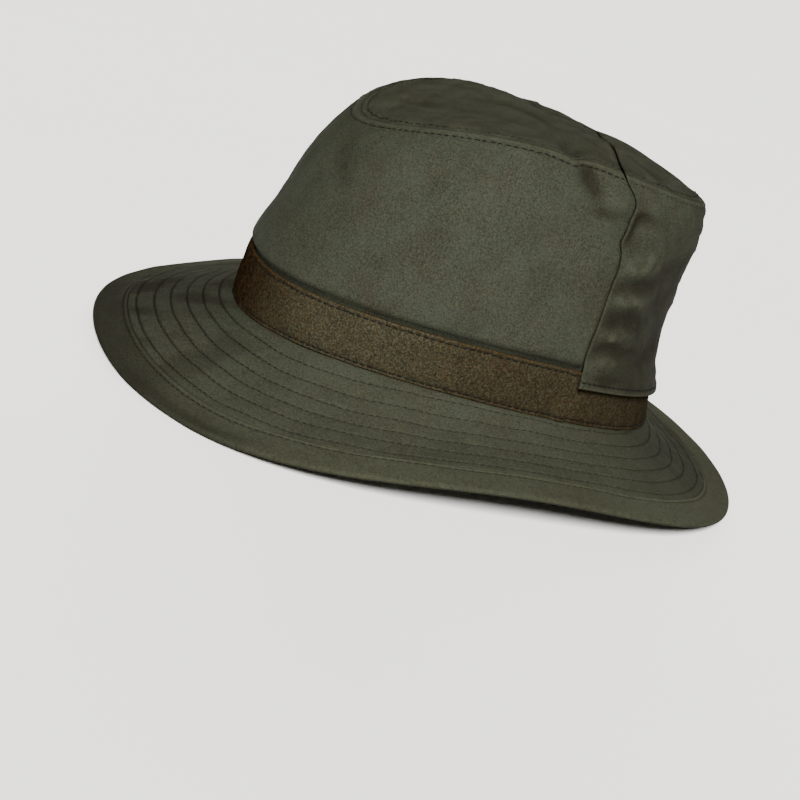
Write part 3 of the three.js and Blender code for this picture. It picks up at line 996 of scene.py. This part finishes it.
def border_piece():
    """The border, from its seam to the brim's rim."""
    shares = spaced(BORDER_WIDTH, BORDER_STEP, (TOPSTITCH_OUTSIDE,))
    angle, share = np.meshgrid(around(BRIM_COLUMNS), shares)
    out = seam_out(angle) + BORDER_WIDTH * share
    over, under = border_face(angle, out, True), border_face(angle, out, False)
    beyond = out - seam_out(angle)
    depth = 0.35 + 0.65 * round_the_hat("row_depth", angle)
    seam = bell(beyond, 0.4) + 0.5 * bell(beyond - TOPSTITCH_OUTSIDE, 0.4)
    seam = np.maximum(np.clip(seam * depth, 0, 1), 0.6 * bell(BORDER_WIDTH - beyond, 0.8))
    # A lighter line beside the topstitch, and painted light on the sides and rear of the border
    worn = bell(beyond - TOPSTITCH_OUTSIDE / 2, 0.6) * 0.25
    worn = worn + 0.5 * smooth(*BORDER_LIT, np.abs(wrap(angle)))
    # Painted shade from the border_shade column, darkest at the front, with uneven patches
    patchy = 0.08 * ripple(over, *WAVES["border shade"])
    shade = np.clip(round_the_hat("border_shade", angle) + patchy, 0, 1)
    marks = {"seam": (seam, seam), "worn": (worn * 0.3, worn), "shade": (shade, shade)}
    piece("brim_border", "waxed_cotton", under, over, True, over[..., :2], marks)


# The crown


def crown_side_piece():
    """The crown's wall; its seams, lighter lines and painted highlights show only in front of the
    cover.
    """
    shares = spaced(CROWN_HEIGHT, WALL_STEP, (CROWN_HEIGHT - SEAM_STITCH,))
    angle, share = np.meshgrid(around(CROWN_COLUMNS), shares)
    behind = behind_edge(angle, np.ones_like(angle))
    up = mix(rise(angle, GAP), crown_top(angle, behind), share)
    below = (crown_top(angle, behind) - up) * wall_height(angle)
    open_side = behind_edge(angle, up) < 0
    over_band = up * wall_height(angle) - BAND_HEIGHT
    # Dark seam lines, painted shadow along the cover's front edge, and painted shade on the cloth
    # just above the band
    seam = seam_mark(below) * open_side + 0.5 * bell(behind_edge(angle, up), 0.5)
    seam = np.clip(seam + 0.4 * bell(over_band - 1, 1.6), 0, 1)
    fold = wall_fold(angle, up, WALL_CREASES)
    at = wall(angle, up, 0)
    # Painted highlights on raised folds, a lighter line by the seam, and painted shade in the
    # dents
    worn = np.maximum(seam_light_line(below), fold_painted_highlight(fold, at)) * open_side
    shade = np.maximum(painted_fold_shade(fold), 0.15 * patches(at, *WAVES["wall shade"]))
    flat = np.stack([angle * ALONG_PER_DEGREE, up * wall_height(angle)], -1)
    outer, inner = crown_face(angle, up), crown_face(angle, up, CLOTH)
    marks = outside(seam=seam, worn=worn, shade=shade)
    piece("crown_side", "waxed_cotton", outer, inner, True, flat, marks)


def tip_piece(node, side, back, face, seam):
    """The crown's top or the cover's part of it, from a grid of points as in tip_plan."""
    rim = rim_distance(side, back)
    seam = np.clip(seam + seam_mark(rim) * (rim > 0.3), 0, 1)
    worn = seam_light_line(rim - 0.5)
    over, under = face(side, back), face(side, back, True)
    worn = np.maximum(worn, np.clip(0.12 + 0.09 * ripple(over, *WAVES["tip wear"]), 0, 1))
    # Painted shade over the whole top with uneven patches, and in its creases
    patchy = np.clip(0.36 + 0.13 * ripple(over, *WAVES["tip shade"]), 0, 1)
    shade = np.maximum(painted_fold_shade(tip_fold(side, back, TIP_CREASES)), patchy)
    marks = {"seam": (seam, 0.6 * bell(rim, 0.5)), **outside(worn=worn, shade=shade)}
    piece(node, "waxed_cotton", over, under, False, over[..., :2], marks)


def crown_tip_piece():
    """The crown's top, in rows from the front to the rear."""
    columns = spaced(TIP_WIDTH, WALL_STEP, (SEAM_STITCH, TIP_WIDTH - SEAM_STITCH)) * 2 - 1
    share, angle = np.meshgrid(columns, np.linspace(0, np.pi, TIP_ROWS))
    side, back = share * np.sin(angle), -np.cos(angle)
    at = tip_plan(side, back)
    # Painted shadow along the cover's front edge
    edge = 0.25 * bell(behind_line(at[..., 0], at[..., 1]), 0.5)
    tip_piece("crown_tip", side, back, crown_tip_face, edge)


def cover_tip_piece():
    """The cover's part of the top, in rows from its bowed front edge to the rear."""
    left, right = rim_start(1), rim_start(-1)
    columns = spaced(TIP_WIDTH, WALL_STEP)
    share, t = np.meshgrid(columns, spaced(TIP_LENGTH / 3, WALL_STEP))
    low, high = tip_rim(-mix(right, 180, t)), tip_rim(mix(left, 180, t))
    plan = mix(low, high, share[..., None])
    side = plan[..., 0] / (TIP_WIDTH / 2)
    y = plan[..., 1] + EDGE_BOW * hump(share) * (1 - t) ** 2
    back = (y - TIP_SET_BACK - CENTRE_Y) / (TIP_LENGTH / 2)
    tip_piece("cover_tip", side, back, cover_tip_face, 0)


def cover_side_piece():
    """The cover's wall, from its hem over the band up to the tip's seam."""
    columns = spaced(COVER_LENGTH, WALL_STEP)
    lines = (HEM_STITCH, CROWN_HEIGHT - SEAM_STITCH)
    share, height_share = np.meshgrid(columns, spaced(COVER_HEIGHT, WALL_STEP, lines))
    quarter = np.full_like(share, 90.0)
    # A first guess at the heights gives the angles, from which both are worked out again.
    up = mix(0.16, 1, height_share)
    for exact in (False, True):
        start, end = cover_start(quarter, up), 360 - cover_start(-quarter, up)
        angle = mix(start, end, share)
        if not exact:
            low, high = rise(angle, BAND_HEIGHT - COVER_LAP), 1 - rise(angle, SEAM_GAP)
            up = mix(low, high, height_share)
    height = wall_height(angle)
    below = (1 - up) * height - SEAM_GAP
    from_hem = up * height - BAND_HEIGHT + COVER_LAP
    seam = np.clip(seam_mark(below) + 0.6 * bell(from_hem - HEM_STITCH, 0.5), 0, 1)
    # Painted highlights on the hem, front edge and raised folds; painted shade over the rest and
    # in dents.
    worn = bell(from_hem, 1.4) * 0.7 + bell(behind_edge(angle, up), 0.6) * 0.3
    fold = wall_fold(angle, up, WALL_CREASES)
    at = wall(angle, up, 0)
    rubbed = fold_painted_highlight(fold, at)
    worn = np.maximum(worn + seam_light_line(below), rubbed)
    rear = smooth(*COVER_REAR_SHADED, np.abs(wrap(angle)))
    painted_cover_shade = mix(0.4, 0.6, rear) * smooth(0.9, 0.66, up)
    painted_cover_shade = painted_cover_shade + 0.12 + 0.09 * ripple(at, *WAVES["cover shade"])
    shade = np.clip(painted_fold_shade(fold) + painted_cover_shade - 1.2 * rubbed, 0, 1)
    flat = np.stack([angle * ALONG_PER_DEGREE, up * height], -1)
    outer, inner = cover_face(angle, up), cover_face(angle, up, COVER_THICKNESS)
    marks = outside(seam=seam, worn=worn, shade=shade)
    piece("cover_side", "waxed_cotton", outer, inner, False, flat, marks)


# The leather band


def hem_shade(angle, height):
    """Where the cover's hem keeps the band in shade."""
    below_hem = BAND_HEIGHT - COVER_LAP - height
    behind = behind_edge(angle, rise(angle, height))
    return smooth(2.2, 0.6, below_hem) * smooth(-1, 0.5, behind)


def band_piece(node, start, end, lift, thin, rubbed):
    """One length of the band from a start to an end angle. The last three give how far in it lies,
    how much thinner it is and how much darker it is painted, at an angle."""
    columns = spaced((end - start) * ALONG_PER_DEGREE, BAND_LONG_STEP)
    lines = (BAND_STITCH, BAND_HEIGHT - BAND_STITCH)
    share, rising = np.meshgrid(columns, spaced(BAND_HEIGHT, BAND_STEP, lines))
    angle = mix(start, end, share)
    height = mix(GAP, BAND_HEIGHT, rising)
    thickness = BAND_THICKNESS - thin(angle)
    outer = band_face(angle, height, lift(angle), thickness, False)
    inner = band_face(angle, height, lift(angle), thickness, True)
    from_edge = np.minimum(height - GAP, BAND_HEIGHT - height)
    from_end = np.minimum(angle - start, end - angle) * ALONG_PER_DEGREE
    # The cut edges show lighter fibre.
    cut = 0.8 * bell(height - GAP, 0.3) + 0.25 * bell(BAND_HEIGHT - height, 0.25)
    cut = np.maximum(cut, 0.3 * bell(from_end, 0.3))
    seam = 0.45 * bell(from_edge - BAND_STITCH, 0.5) + 0.7 * hem_shade(angle, height)
    seam = np.clip(seam, 0, 1)
    flat = np.stack([angle * ALONG_PER_DEGREE, height], -1)
    marks = {**outside(seam=seam, rubbed=rubbed(angle)), "worn": (cut, cut * 0.3)}
    piece(node, "band_leather", outer, inner, False, flat, marks)


def front_lift(angle):
    """How far in the front length of the band lies: its ends stand out over the rear length."""
    return -BAND_LAP * smooth(BAND_REAR_START - 1.5, BAND_REAR_START + 0.5, np.abs(angle))


def rear_lift(angle):
    """How far in the rear length of the band lies, and how much thinner it is, at its ends."""
    lapped = 1 - smooth(BAND_END_ANGLE, BAND_END_ANGLE + 3, np.abs(wrap(angle)))
    return BAND_LAP * 0.9 * lapped


def front_rubbed(angle):
    """How much darker the front length of the band is painted: painted shade towards its front
    end, and a little at the sides.
    """
    turn = np.abs(angle)
    return smooth(*BAND_FRONT_SHADED, turn) + 0.4 * smooth(*BAND_SIDE_DARKER, turn)


def rear_rubbed(angle):
    """How much darker the rear length of the band is painted, from the end of the front one."""
    return 0.5 * smooth(*BAND_REAR_DARKER, np.abs(wrap(angle)))


def band_pieces():
    """The band's front length, whose ends lap over those of its rear length."""
    band_piece("band_front", -BAND_END_ANGLE, BAND_END_ANGLE, front_lift,
               lambda angle: 0 * angle, front_rubbed)
    band_piece("band_rear", BAND_REAR_START, 360 - BAND_REAR_START, rear_lift, rear_lift,
               rear_rubbed)


# The ear flaps


def flap_outline(first, straight_steps, round_steps):
    """Shares of a flap's length, up its straight side and round its end."""
    quarter = np.sin(np.linspace(0, np.pi / 2, round_steps))
    straight = np.linspace(first, FLAP_STRAIGHT_SHARE, straight_steps)[:-1]
    return np.concatenate([straight, mix(FLAP_STRAIGHT_SHARE, 1, quarter)])


def up_and_down(shares):
    """An outline's shares up one side and down the other, and each one's side, -1 or 1."""
    hands = np.concatenate([-np.ones(len(shares)), np.ones(len(shares) - 1)])
    return np.concatenate([shares, shares[-2::-1]]), hands


def flap_pieces(hand, side):
    """One ear flap and the tape round its edge, on the side 1 of the wearer's left or -1."""
    half = FLAP_WIDTH / 2 - BINDING_WIDTH - GAP
    length = FLAP_LENGTH - BINDING_WIDTH - GAP
    shares = flap_outline(0, 26, 34)
    across, share = np.meshgrid(1 - 2 * spaced(2 * half, FLAP_STEP), shares)
    x, y = across * half * flap_half_width(share), length * share
    edge = np.minimum((1 - np.abs(across)) * half * flap_half_width(share), y)
    fall = rolled(edge, FLAP_ROUND)
    quilt = QUILT * ripple(np.stack([x, y, 0 * x], -1), *WAVES["flap"])
    seam = bell(edge, FLAP_ROUND)
    outer = flap_point(side, x, y, FLAP_THICKNESS - fall + quilt)
    inner = flap_point(side, x, y, fall * FLAP_INSIDE_SHARE)
    marks = {"seam": (seam, seam)}
    flat = np.stack([x, y], -1)
    piece(f"ear_flap_{hand}", "flap_cloth", outer, inner, False, flat, marks)

    edge_shares, hands = up_and_down(shares)
    margins = BINDING_WIDTH * spaced(BINDING_WIDTH, BINDING_STEP)
    place, margin = np.meshgrid(np.arange(len(hands)), margins)
    share = edge_shares[place]
    x = hands[place] * (FLAP_WIDTH / 2 - margin) * flap_half_width(share)
    y = (FLAP_LENGTH - margin) * share
    edge = np.minimum(margin * 0.6, BINDING_WIDTH - margin)
    fall = rolled(edge, FLAP_THICKNESS * BINDING_ROUND_SHARE)
    groove = BINDING_GROOVE * bell(margin - BINDING_STITCH, BINDING_GROOVE_WIDTH)
    seam = bell(margin - BINDING_STITCH, 0.6)
    step = np.hypot(np.diff(x, axis=1, prepend=x[:, :1]), np.diff(y, axis=1, prepend=y[:, :1]))
    flat = np.stack([np.cumsum(step, 1), margin], -1)
    outer = flap_point(side, x, y, FLAP_THICKNESS + BINDING_RISE - fall - groove)
    inner = flap_point(side, x, y, fall * FLAP_INSIDE_SHARE)
    marks = {"seam": (seam, seam)}
    piece(f"flap_binding_{hand}", "flap_tape", outer, inner, False, flat, marks)


# Stitches

# Metres, and the seed of the small differences between stitches
STITCH = {"Stitch length": 0.0024, "Stitch pitch": 0.0033, "Thread width": 0.0006, "Rise": 0.0004,
          "Seed": 1}
# A stitch's ends and middle, as shares of its length and of its rise
STITCH_ARCH = ((-0.5, -0.6), (0.5, -0.6), (0.0, 1.6))
# How far a stitch turns on the cloth in radians, and its least and most length, width and rise
STITCH_TURN = 0.09
STITCH_SIZES = {"Min": (0.82, 0.9, 0.8), "Max": (1.08, 1.1, 1.2)}
# How thick the thread shows, as a share of its width. On the brim the least is where its rows are
# flat, and more is added as they get deeper.
BRIM_THREAD_LEAST = 0.32
BRIM_THREAD_MORE = 0.6
WALL_THREAD = 0.8
COVER_THREAD = 0.7


def stitch_tree(finish):
    """Lays short curved stitches along the paths that it is given."""
    tree = bpy.data.node_groups.new("stitches_along_paths", "GeometryNodeTree")
    face = tree.interface
    face.new_socket("Geometry", in_out="INPUT", socket_type="NodeSocketGeometry")
    for label, value in STITCH.items():
        kind = "NodeSocketInt" if label == "Seed" else "NodeSocketFloat"
        socket = face.new_socket(label, in_out="INPUT", socket_type=kind)
        socket.default_value = value
    face.new_socket("Geometry", in_out="OUTPUT", socket_type="NodeSocketGeometry")
    given = add(tree, "NodeGroupInput").outputs
    # The stitch is a shallow arch, whose ends dip into the cloth.
    reach = add(tree, "ShaderNodeCombineXYZ", None, {"X": given["Stitch length"]}).outputs[0]
    height = add(tree, "ShaderNodeCombineXYZ", None, {"Z": given["Rise"]}).outputs[0]
    ends = []
    for place, up in STITCH_ARCH:
        flat = add(tree, "ShaderNodeVectorMath", {"operation": "SCALE"},
                   {"Vector": reach, "Scale": place}).outputs[0]
        point = add(tree, "ShaderNodeVectorMath", {"operation": "MULTIPLY_ADD"},
                    {0: height, 1: (up, up, up), 2: flat}).outputs[0]
        ends.append(point)
    start, end, middle = ends
    spine = add(tree, "GeometryNodeCurveQuadraticBezier", None,
                {"Resolution": 3, "Start": start, "Middle": middle, "End": end}).outputs[0]
    half = add(tree, "ShaderNodeMath", {"operation": "MULTIPLY"},
               {0: given["Thread width"], 1: 0.5}).outputs[0]
    ring = add(tree, "GeometryNodeCurvePrimitiveCircle", None, {"Resolution": 5, "Radius": half})
    stitch = add(tree, "GeometryNodeCurveToMesh", None,
                 {"Curve": spine, "Profile Curve": ring.outputs["Curve"], "Fill Caps": True})
    path = add(tree, "GeometryNodeMeshToCurve", None, {"Mesh": given["Geometry"]}).outputs[0]
    even = add(tree, "GeometryNodeResampleCurve", {"mode": "LENGTH"},
               {"Curve": path, "Length": given["Stitch pitch"]}).outputs[0]
    along = add(tree, "GeometryNodeInputTangent").outputs[0]
    facing = add(tree, "GeometryNodeInputNamedAttribute", {"data_type": "FLOAT_VECTOR"},
                 {"Name": "facing"}).outputs["Attribute"]
    turned = add(tree, "FunctionNodeAlignRotationToVector", {"axis": "X"}, {"Vector": along})
    turned = add(tree, "FunctionNodeAlignRotationToVector", {"axis": "Z", "pivot_axis": "X"},
                 {"Rotation": turned.outputs[0], "Vector": facing})
    spread = {"Min": (0, 0, -STITCH_TURN), "Max": (0, 0, STITCH_TURN), "Seed": given["Seed"]}
    wobble = add(tree, "FunctionNodeRandomValue", {"data_type": "FLOAT_VECTOR"}, spread)
    turned = add(tree, "FunctionNodeRotateRotation", {"rotation_space": "LOCAL"},
                 {"Rotation": turned.outputs[0], "Rotate By": wobble.outputs[0]})
    spread = {**STITCH_SIZES, "Seed": given["Seed"]}
    sizes = add(tree, "FunctionNodeRandomValue", {"data_type": "FLOAT_VECTOR"}, spread)
    weight = add(tree, "GeometryNodeInputNamedAttribute", {"data_type": "FLOAT"},
                 {"Name": "weight"}).outputs["Attribute"]
    weight = add(tree, "ShaderNodeCombineXYZ", None, {"X": 1.0, "Y": weight, "Z": weight})
    sizes = add(tree, "ShaderNodeVectorMath", {"operation": "MULTIPLY"},
                {0: sizes.outputs[0], 1: weight.outputs[0]})
    laid = add(tree, "GeometryNodeInstanceOnPoints", None,
               {"Points": even, "Instance": stitch.outputs[0], "Rotation": turned.outputs[0],
                "Scale": sizes.outputs[0]}).outputs[0]
    real = add(tree, "GeometryNodeRealizeInstances", None, {"Geometry": laid}).outputs[0]
    smooth_faces = add(tree, "GeometryNodeSetShadeSmooth", None, {"Geometry": real}).outputs[0]
    painted = add(tree, "GeometryNodeSetMaterial", None,
                  {"Geometry": smooth_faces, "Material": finish}).outputs[0]
    add(tree, "NodeGroupOutput", None, {"Geometry": painted})
    return tree


def sew(name, paths, finish):
    """Sews stitches along paths: points, directions out of the cloth, and the thread's weight."""
    points, edges, facing, weights = [], [], [], []
    for at, out, weight in paths:
        first = len(points)
        points += (at * MM).tolist()
        facing += out.tolist()
        weights += (weight + 0 * at[:, 0]).tolist()
        edges += [(first + i, first + i + 1) for i in range(len(at) - 1)]
    guide = bpy.data.meshes.new(name + "_path")
    guide.from_pydata(points, edges, [])
    carry(guide, "facing", "FLOAT_VECTOR", facing)
    carry(guide, "weight", "FLOAT", weights)
    made = set_out(name, guide)
    live = made.modifiers.new("stitches", "NODES")
    live.node_group = stitch_tree(finish)
    for item in live.node_group.interface.items_tree:
        if item.name in STITCH:
            live[item.identifier] = STITCH[item.name]
    seen = made.evaluated_get(bpy.context.evaluated_depsgraph_get())
    solid = bpy.data.meshes.new_from_object(seen)
    made.modifiers.remove(live)
    made.data = solid
    made.data.name = name
    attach(made, "root")
    return made


def path_on(face, first, second, out_hint, keep=None, weight=1.0):
    """Paths over a face at pairs of its two coordinates, cut where keep is false. out_hint points
    roughly out of the cloth."""
    small = 0.05
    at = face(first, second)
    one = face(first + small, second) - face(first - small, second)
    two = face(first, second + small) - face(first, second - small)
    out = np.cross(one, two)
    out /= np.linalg.norm(out, axis=-1, keepdims=True)
    out *= np.sign((out * out_hint).sum(-1))[..., None]
    weight = weight + 0 * at[:, 0]
    if keep is None or keep.all():
        return [(at, out, weight)]
    ends = np.flatnonzero(np.diff(keep.astype(int))) + 1
    parts = [np.split(values, ends) for values in (at, out, weight, keep)]
    return [(a, o, w) for a, o, w, k in zip(*parts) if k[0] and len(a) > 3]


def brim_stitches():
    """The brim's rows and the border's topstitch, on top and underneath."""
    angle = np.linspace(0, 360, 721)
    weight = BRIM_THREAD_LEAST + BRIM_THREAD_MORE * round_the_hat("row_depth", angle)
    for name, top in (("brim_stitches_top", True), ("brim_stitches_under", False)):
        hint = UP if top else -UP
        paths = []
        for even in ROWS:
            out = seam_out(angle) - row_distance(angle, even)
            paths += path_on(lambda a, o: brim_face(a, o, top), angle, out, hint,
                             out > ROW_MARGIN, weight)
        outer = seam_out(angle) + TOPSTITCH_OUTSIDE
        paths += path_on(lambda a, o: border_face(a, o, top), angle, outer, hint, None, weight)
        sew(name, paths, dark_thread)


def tip_path(face, angle):
    """The topstitch inside the tip's seam, at angles from the front."""
    share, a = 1 - SEAM_STITCH / (TIP_WIDTH / 2), np.radians(angle)
    return path_on(face, share * np.sin(a), -share * np.cos(a), UP, None, COVER_THREAD)


def crown_stitches():
    """The topstitch on both sides of the tip's seam, and the cover's hem."""
    angle = np.linspace(-rim_start(-1) + 1, rim_start(1) - 1, 400)
    top = crown_top(angle, behind_edge(angle, np.ones_like(angle)))
    up = top - rise(angle, SEAM_STITCH)
    paths = path_on(crown_face, angle, up, outward(angle), None, WALL_THREAD)
    paths += tip_path(crown_tip_face, angle)

    rear = np.linspace(rim_start(1) + 1.5, 360 - rim_start(-1) - 1.5, 300)
    up = 1 - rise(rear, SEAM_GAP + SEAM_STITCH)
    keep = behind_edge(rear, up) > EDGE_MARGIN
    paths += path_on(cover_face, rear, up, outward(rear), keep, COVER_THREAD)
    paths += tip_path(cover_tip_face, rear)
    up = rise(rear, BAND_HEIGHT - COVER_LAP + HEM_STITCH)
    keep = behind_edge(rear, up) > EDGE_MARGIN
    paths += path_on(cover_face, rear, up, outward(rear), keep)
    sew("crown_stitches", paths, dark_thread)


def band_stitches():
    """Both rows of stitches on each length of the band."""
    paths = []
    front = np.linspace(-BAND_END_ANGLE + 1, BAND_END_ANGLE - 1, 400)
    rear = np.linspace(BAND_END_ANGLE + 0.8, 360 - BAND_END_ANGLE - 0.8, 400)
    for angle, lift in ((front, front_lift(front)), (rear, rear_lift(rear))):
        for height in (GAP + BAND_STITCH, BAND_HEIGHT - BAND_STITCH):
            paths += path_on(lambda a, h: band_face(a, h, lift, BAND_THICKNESS, False), angle,
                             np.full_like(angle, height), outward(angle))
    sew("band_stitches", paths, black_thread)


def flap_stitches():
    """The row of stitches on each flap's tape."""
    shares, hands = up_and_down(flap_outline(0.02, 30, 40))
    x = hands * (FLAP_WIDTH / 2 - BINDING_STITCH) * flap_half_width(shares)
    y = (FLAP_LENGTH - BINDING_STITCH) * shares
    for hand, side in (("left", 1), ("right", -1)):
        at = flap_point(side, x, y, FLAP_THICKNESS + 0.1)
        out = -outward(side * 90 + np.degrees(x / (FOOT_LENGTH / 2)))
        sew(f"flap_stitches_{hand}", [(at, out, 1.0)], black_thread)


brim_piece()
border_piece()
crown_side_piece()
crown_tip_piece()
cover_side_piece()
cover_tip_piece()
band_pieces()
for hand, side in (("left", 1), ("right", -1)):
    flap_pieces(hand, side)
brim_stitches()
crown_stitches()
band_stitches()
flap_stitches()


# Floor, lights and camera

# The view, from the photograph's frame of 800 by 800 pixels
PHOTO_PIXELS = 800
SENSOR_MM = 36
VIEW_AZIMUTH = 70.94
VIEW_HEIGHT = 13.31
VIEW_ROLL = -18.25
VIEW_DISTANCE = 713
PIXELS_PER_MM = 2.12
TARGET = (0, CENTRE_Y, 72.3)
TARGET_PIXEL = (474.2, 254.6)
# Half the floor's size and the gap under the brim, in metres
FLOOR_HALF = 20.0
FLOOR_GAP = 0.0004
LIGHT_COLOUR = (1, 0.99, 0.97)
# The strength of the room's own light, and how bright the room looks beyond the floor
ROOM_LIGHT = 0.1
ROOM_SEEN = 2.5


def lay_floor():
    half, height = FLOOR_HALF, -FLOOR_GAP
    mesh = bpy.data.meshes.new("floor")
    corners = [(-half, -half, height), (half, -half, height), (half, half, height)]
    mesh.from_pydata(corners + [(-half, half, height)], [], [(0, 1, 2, 3)])
    floor = set_out("floor", mesh)
    mesh.materials.append(painted_floor())


def view_axes():
    """The camera's right, up and back directions as the rows of a matrix."""
    a, e, r = (math.radians(v) for v in (VIEW_AZIMUTH, VIEW_HEIGHT, VIEW_ROLL))
    back = np.array([math.sin(a) * math.cos(e), -math.cos(a) * math.cos(e), math.sin(e)])
    right = np.array([math.cos(a), math.sin(a), 0])
    level = np.stack([right, np.cross(back, right), back])
    roll = np.array([[math.cos(r), -math.sin(r), 0], [math.sin(r), math.cos(r), 0], [0, 0, 1]])
    focal = VIEW_DISTANCE * PIXELS_PER_MM
    off = [(p - PHOTO_PIXELS / 2) / focal for p in TARGET_PIXEL]
    to = np.array([off[0], -off[1], -1])
    to /= np.linalg.norm(to)
    axis = np.cross([0, 0, -1], to)
    k = np.array([[0, -axis[2], axis[1]], [axis[2], 0, -axis[0]], [-axis[1], axis[0], 0]])
    turn = np.eye(3) + k + k @ k / (1 - to[2])
    return turn @ roll @ level, back


def set_camera():
    axes, back = view_axes()
    data = bpy.data.cameras.new("camera")
    data.sensor_width = SENSOR_MM
    data.lens = VIEW_DISTANCE * PIXELS_PER_MM * SENSOR_MM / PHOTO_PIXELS
    data.clip_start = 0.05
    camera = set_out("camera", data)
    place = Matrix(axes.T.tolist()).to_4x4()
    place.translation = (np.array(TARGET) + VIEW_DISTANCE * back) * MM
    camera.matrix_world = place
    bpy.context.scene.camera = camera


def add_light(name, azimuth, height, strength, softness):
    """A far light that lights the floor evenly. Its direction and softness are in degrees."""
    data = bpy.data.lights.new(name, "SUN")
    data.energy = strength
    data.angle = math.radians(softness)
    data.color = LIGHT_COLOUR
    lamp = set_out(name, data)
    lamp.rotation_euler = (math.radians(90 - height), 0, math.radians(azimuth))
    return lamp


def light_scene():
    world = bpy.data.worlds.new("pale_room")
    bpy.context.scene.world = world
    world.use_nodes = True
    tree = world.node_tree
    tree.nodes.clear()
    seen = add(tree, "ShaderNodeLightPath").outputs["Is Camera Ray"]
    inputs = {"Value": seen, "To Min": ROOM_LIGHT, "To Max": ROOM_SEEN}
    strength = add(tree, "ShaderNodeMapRange", None, inputs).outputs["Result"]
    room = add(tree, "ShaderNodeBackground", None,
               {"Color": colour("f4f4f2"), "Strength": strength}).outputs[0]
    add(tree, "ShaderNodeOutputWorld", None, {"Surface": room})
    add_light("key", azimuth=73, height=37, strength=12.6, softness=20)
    fill = add_light("fill", azimuth=250, height=14, strength=4.0, softness=40)
    fill.visible_glossy = False


lay_floor()
set_camera()
light_scene()
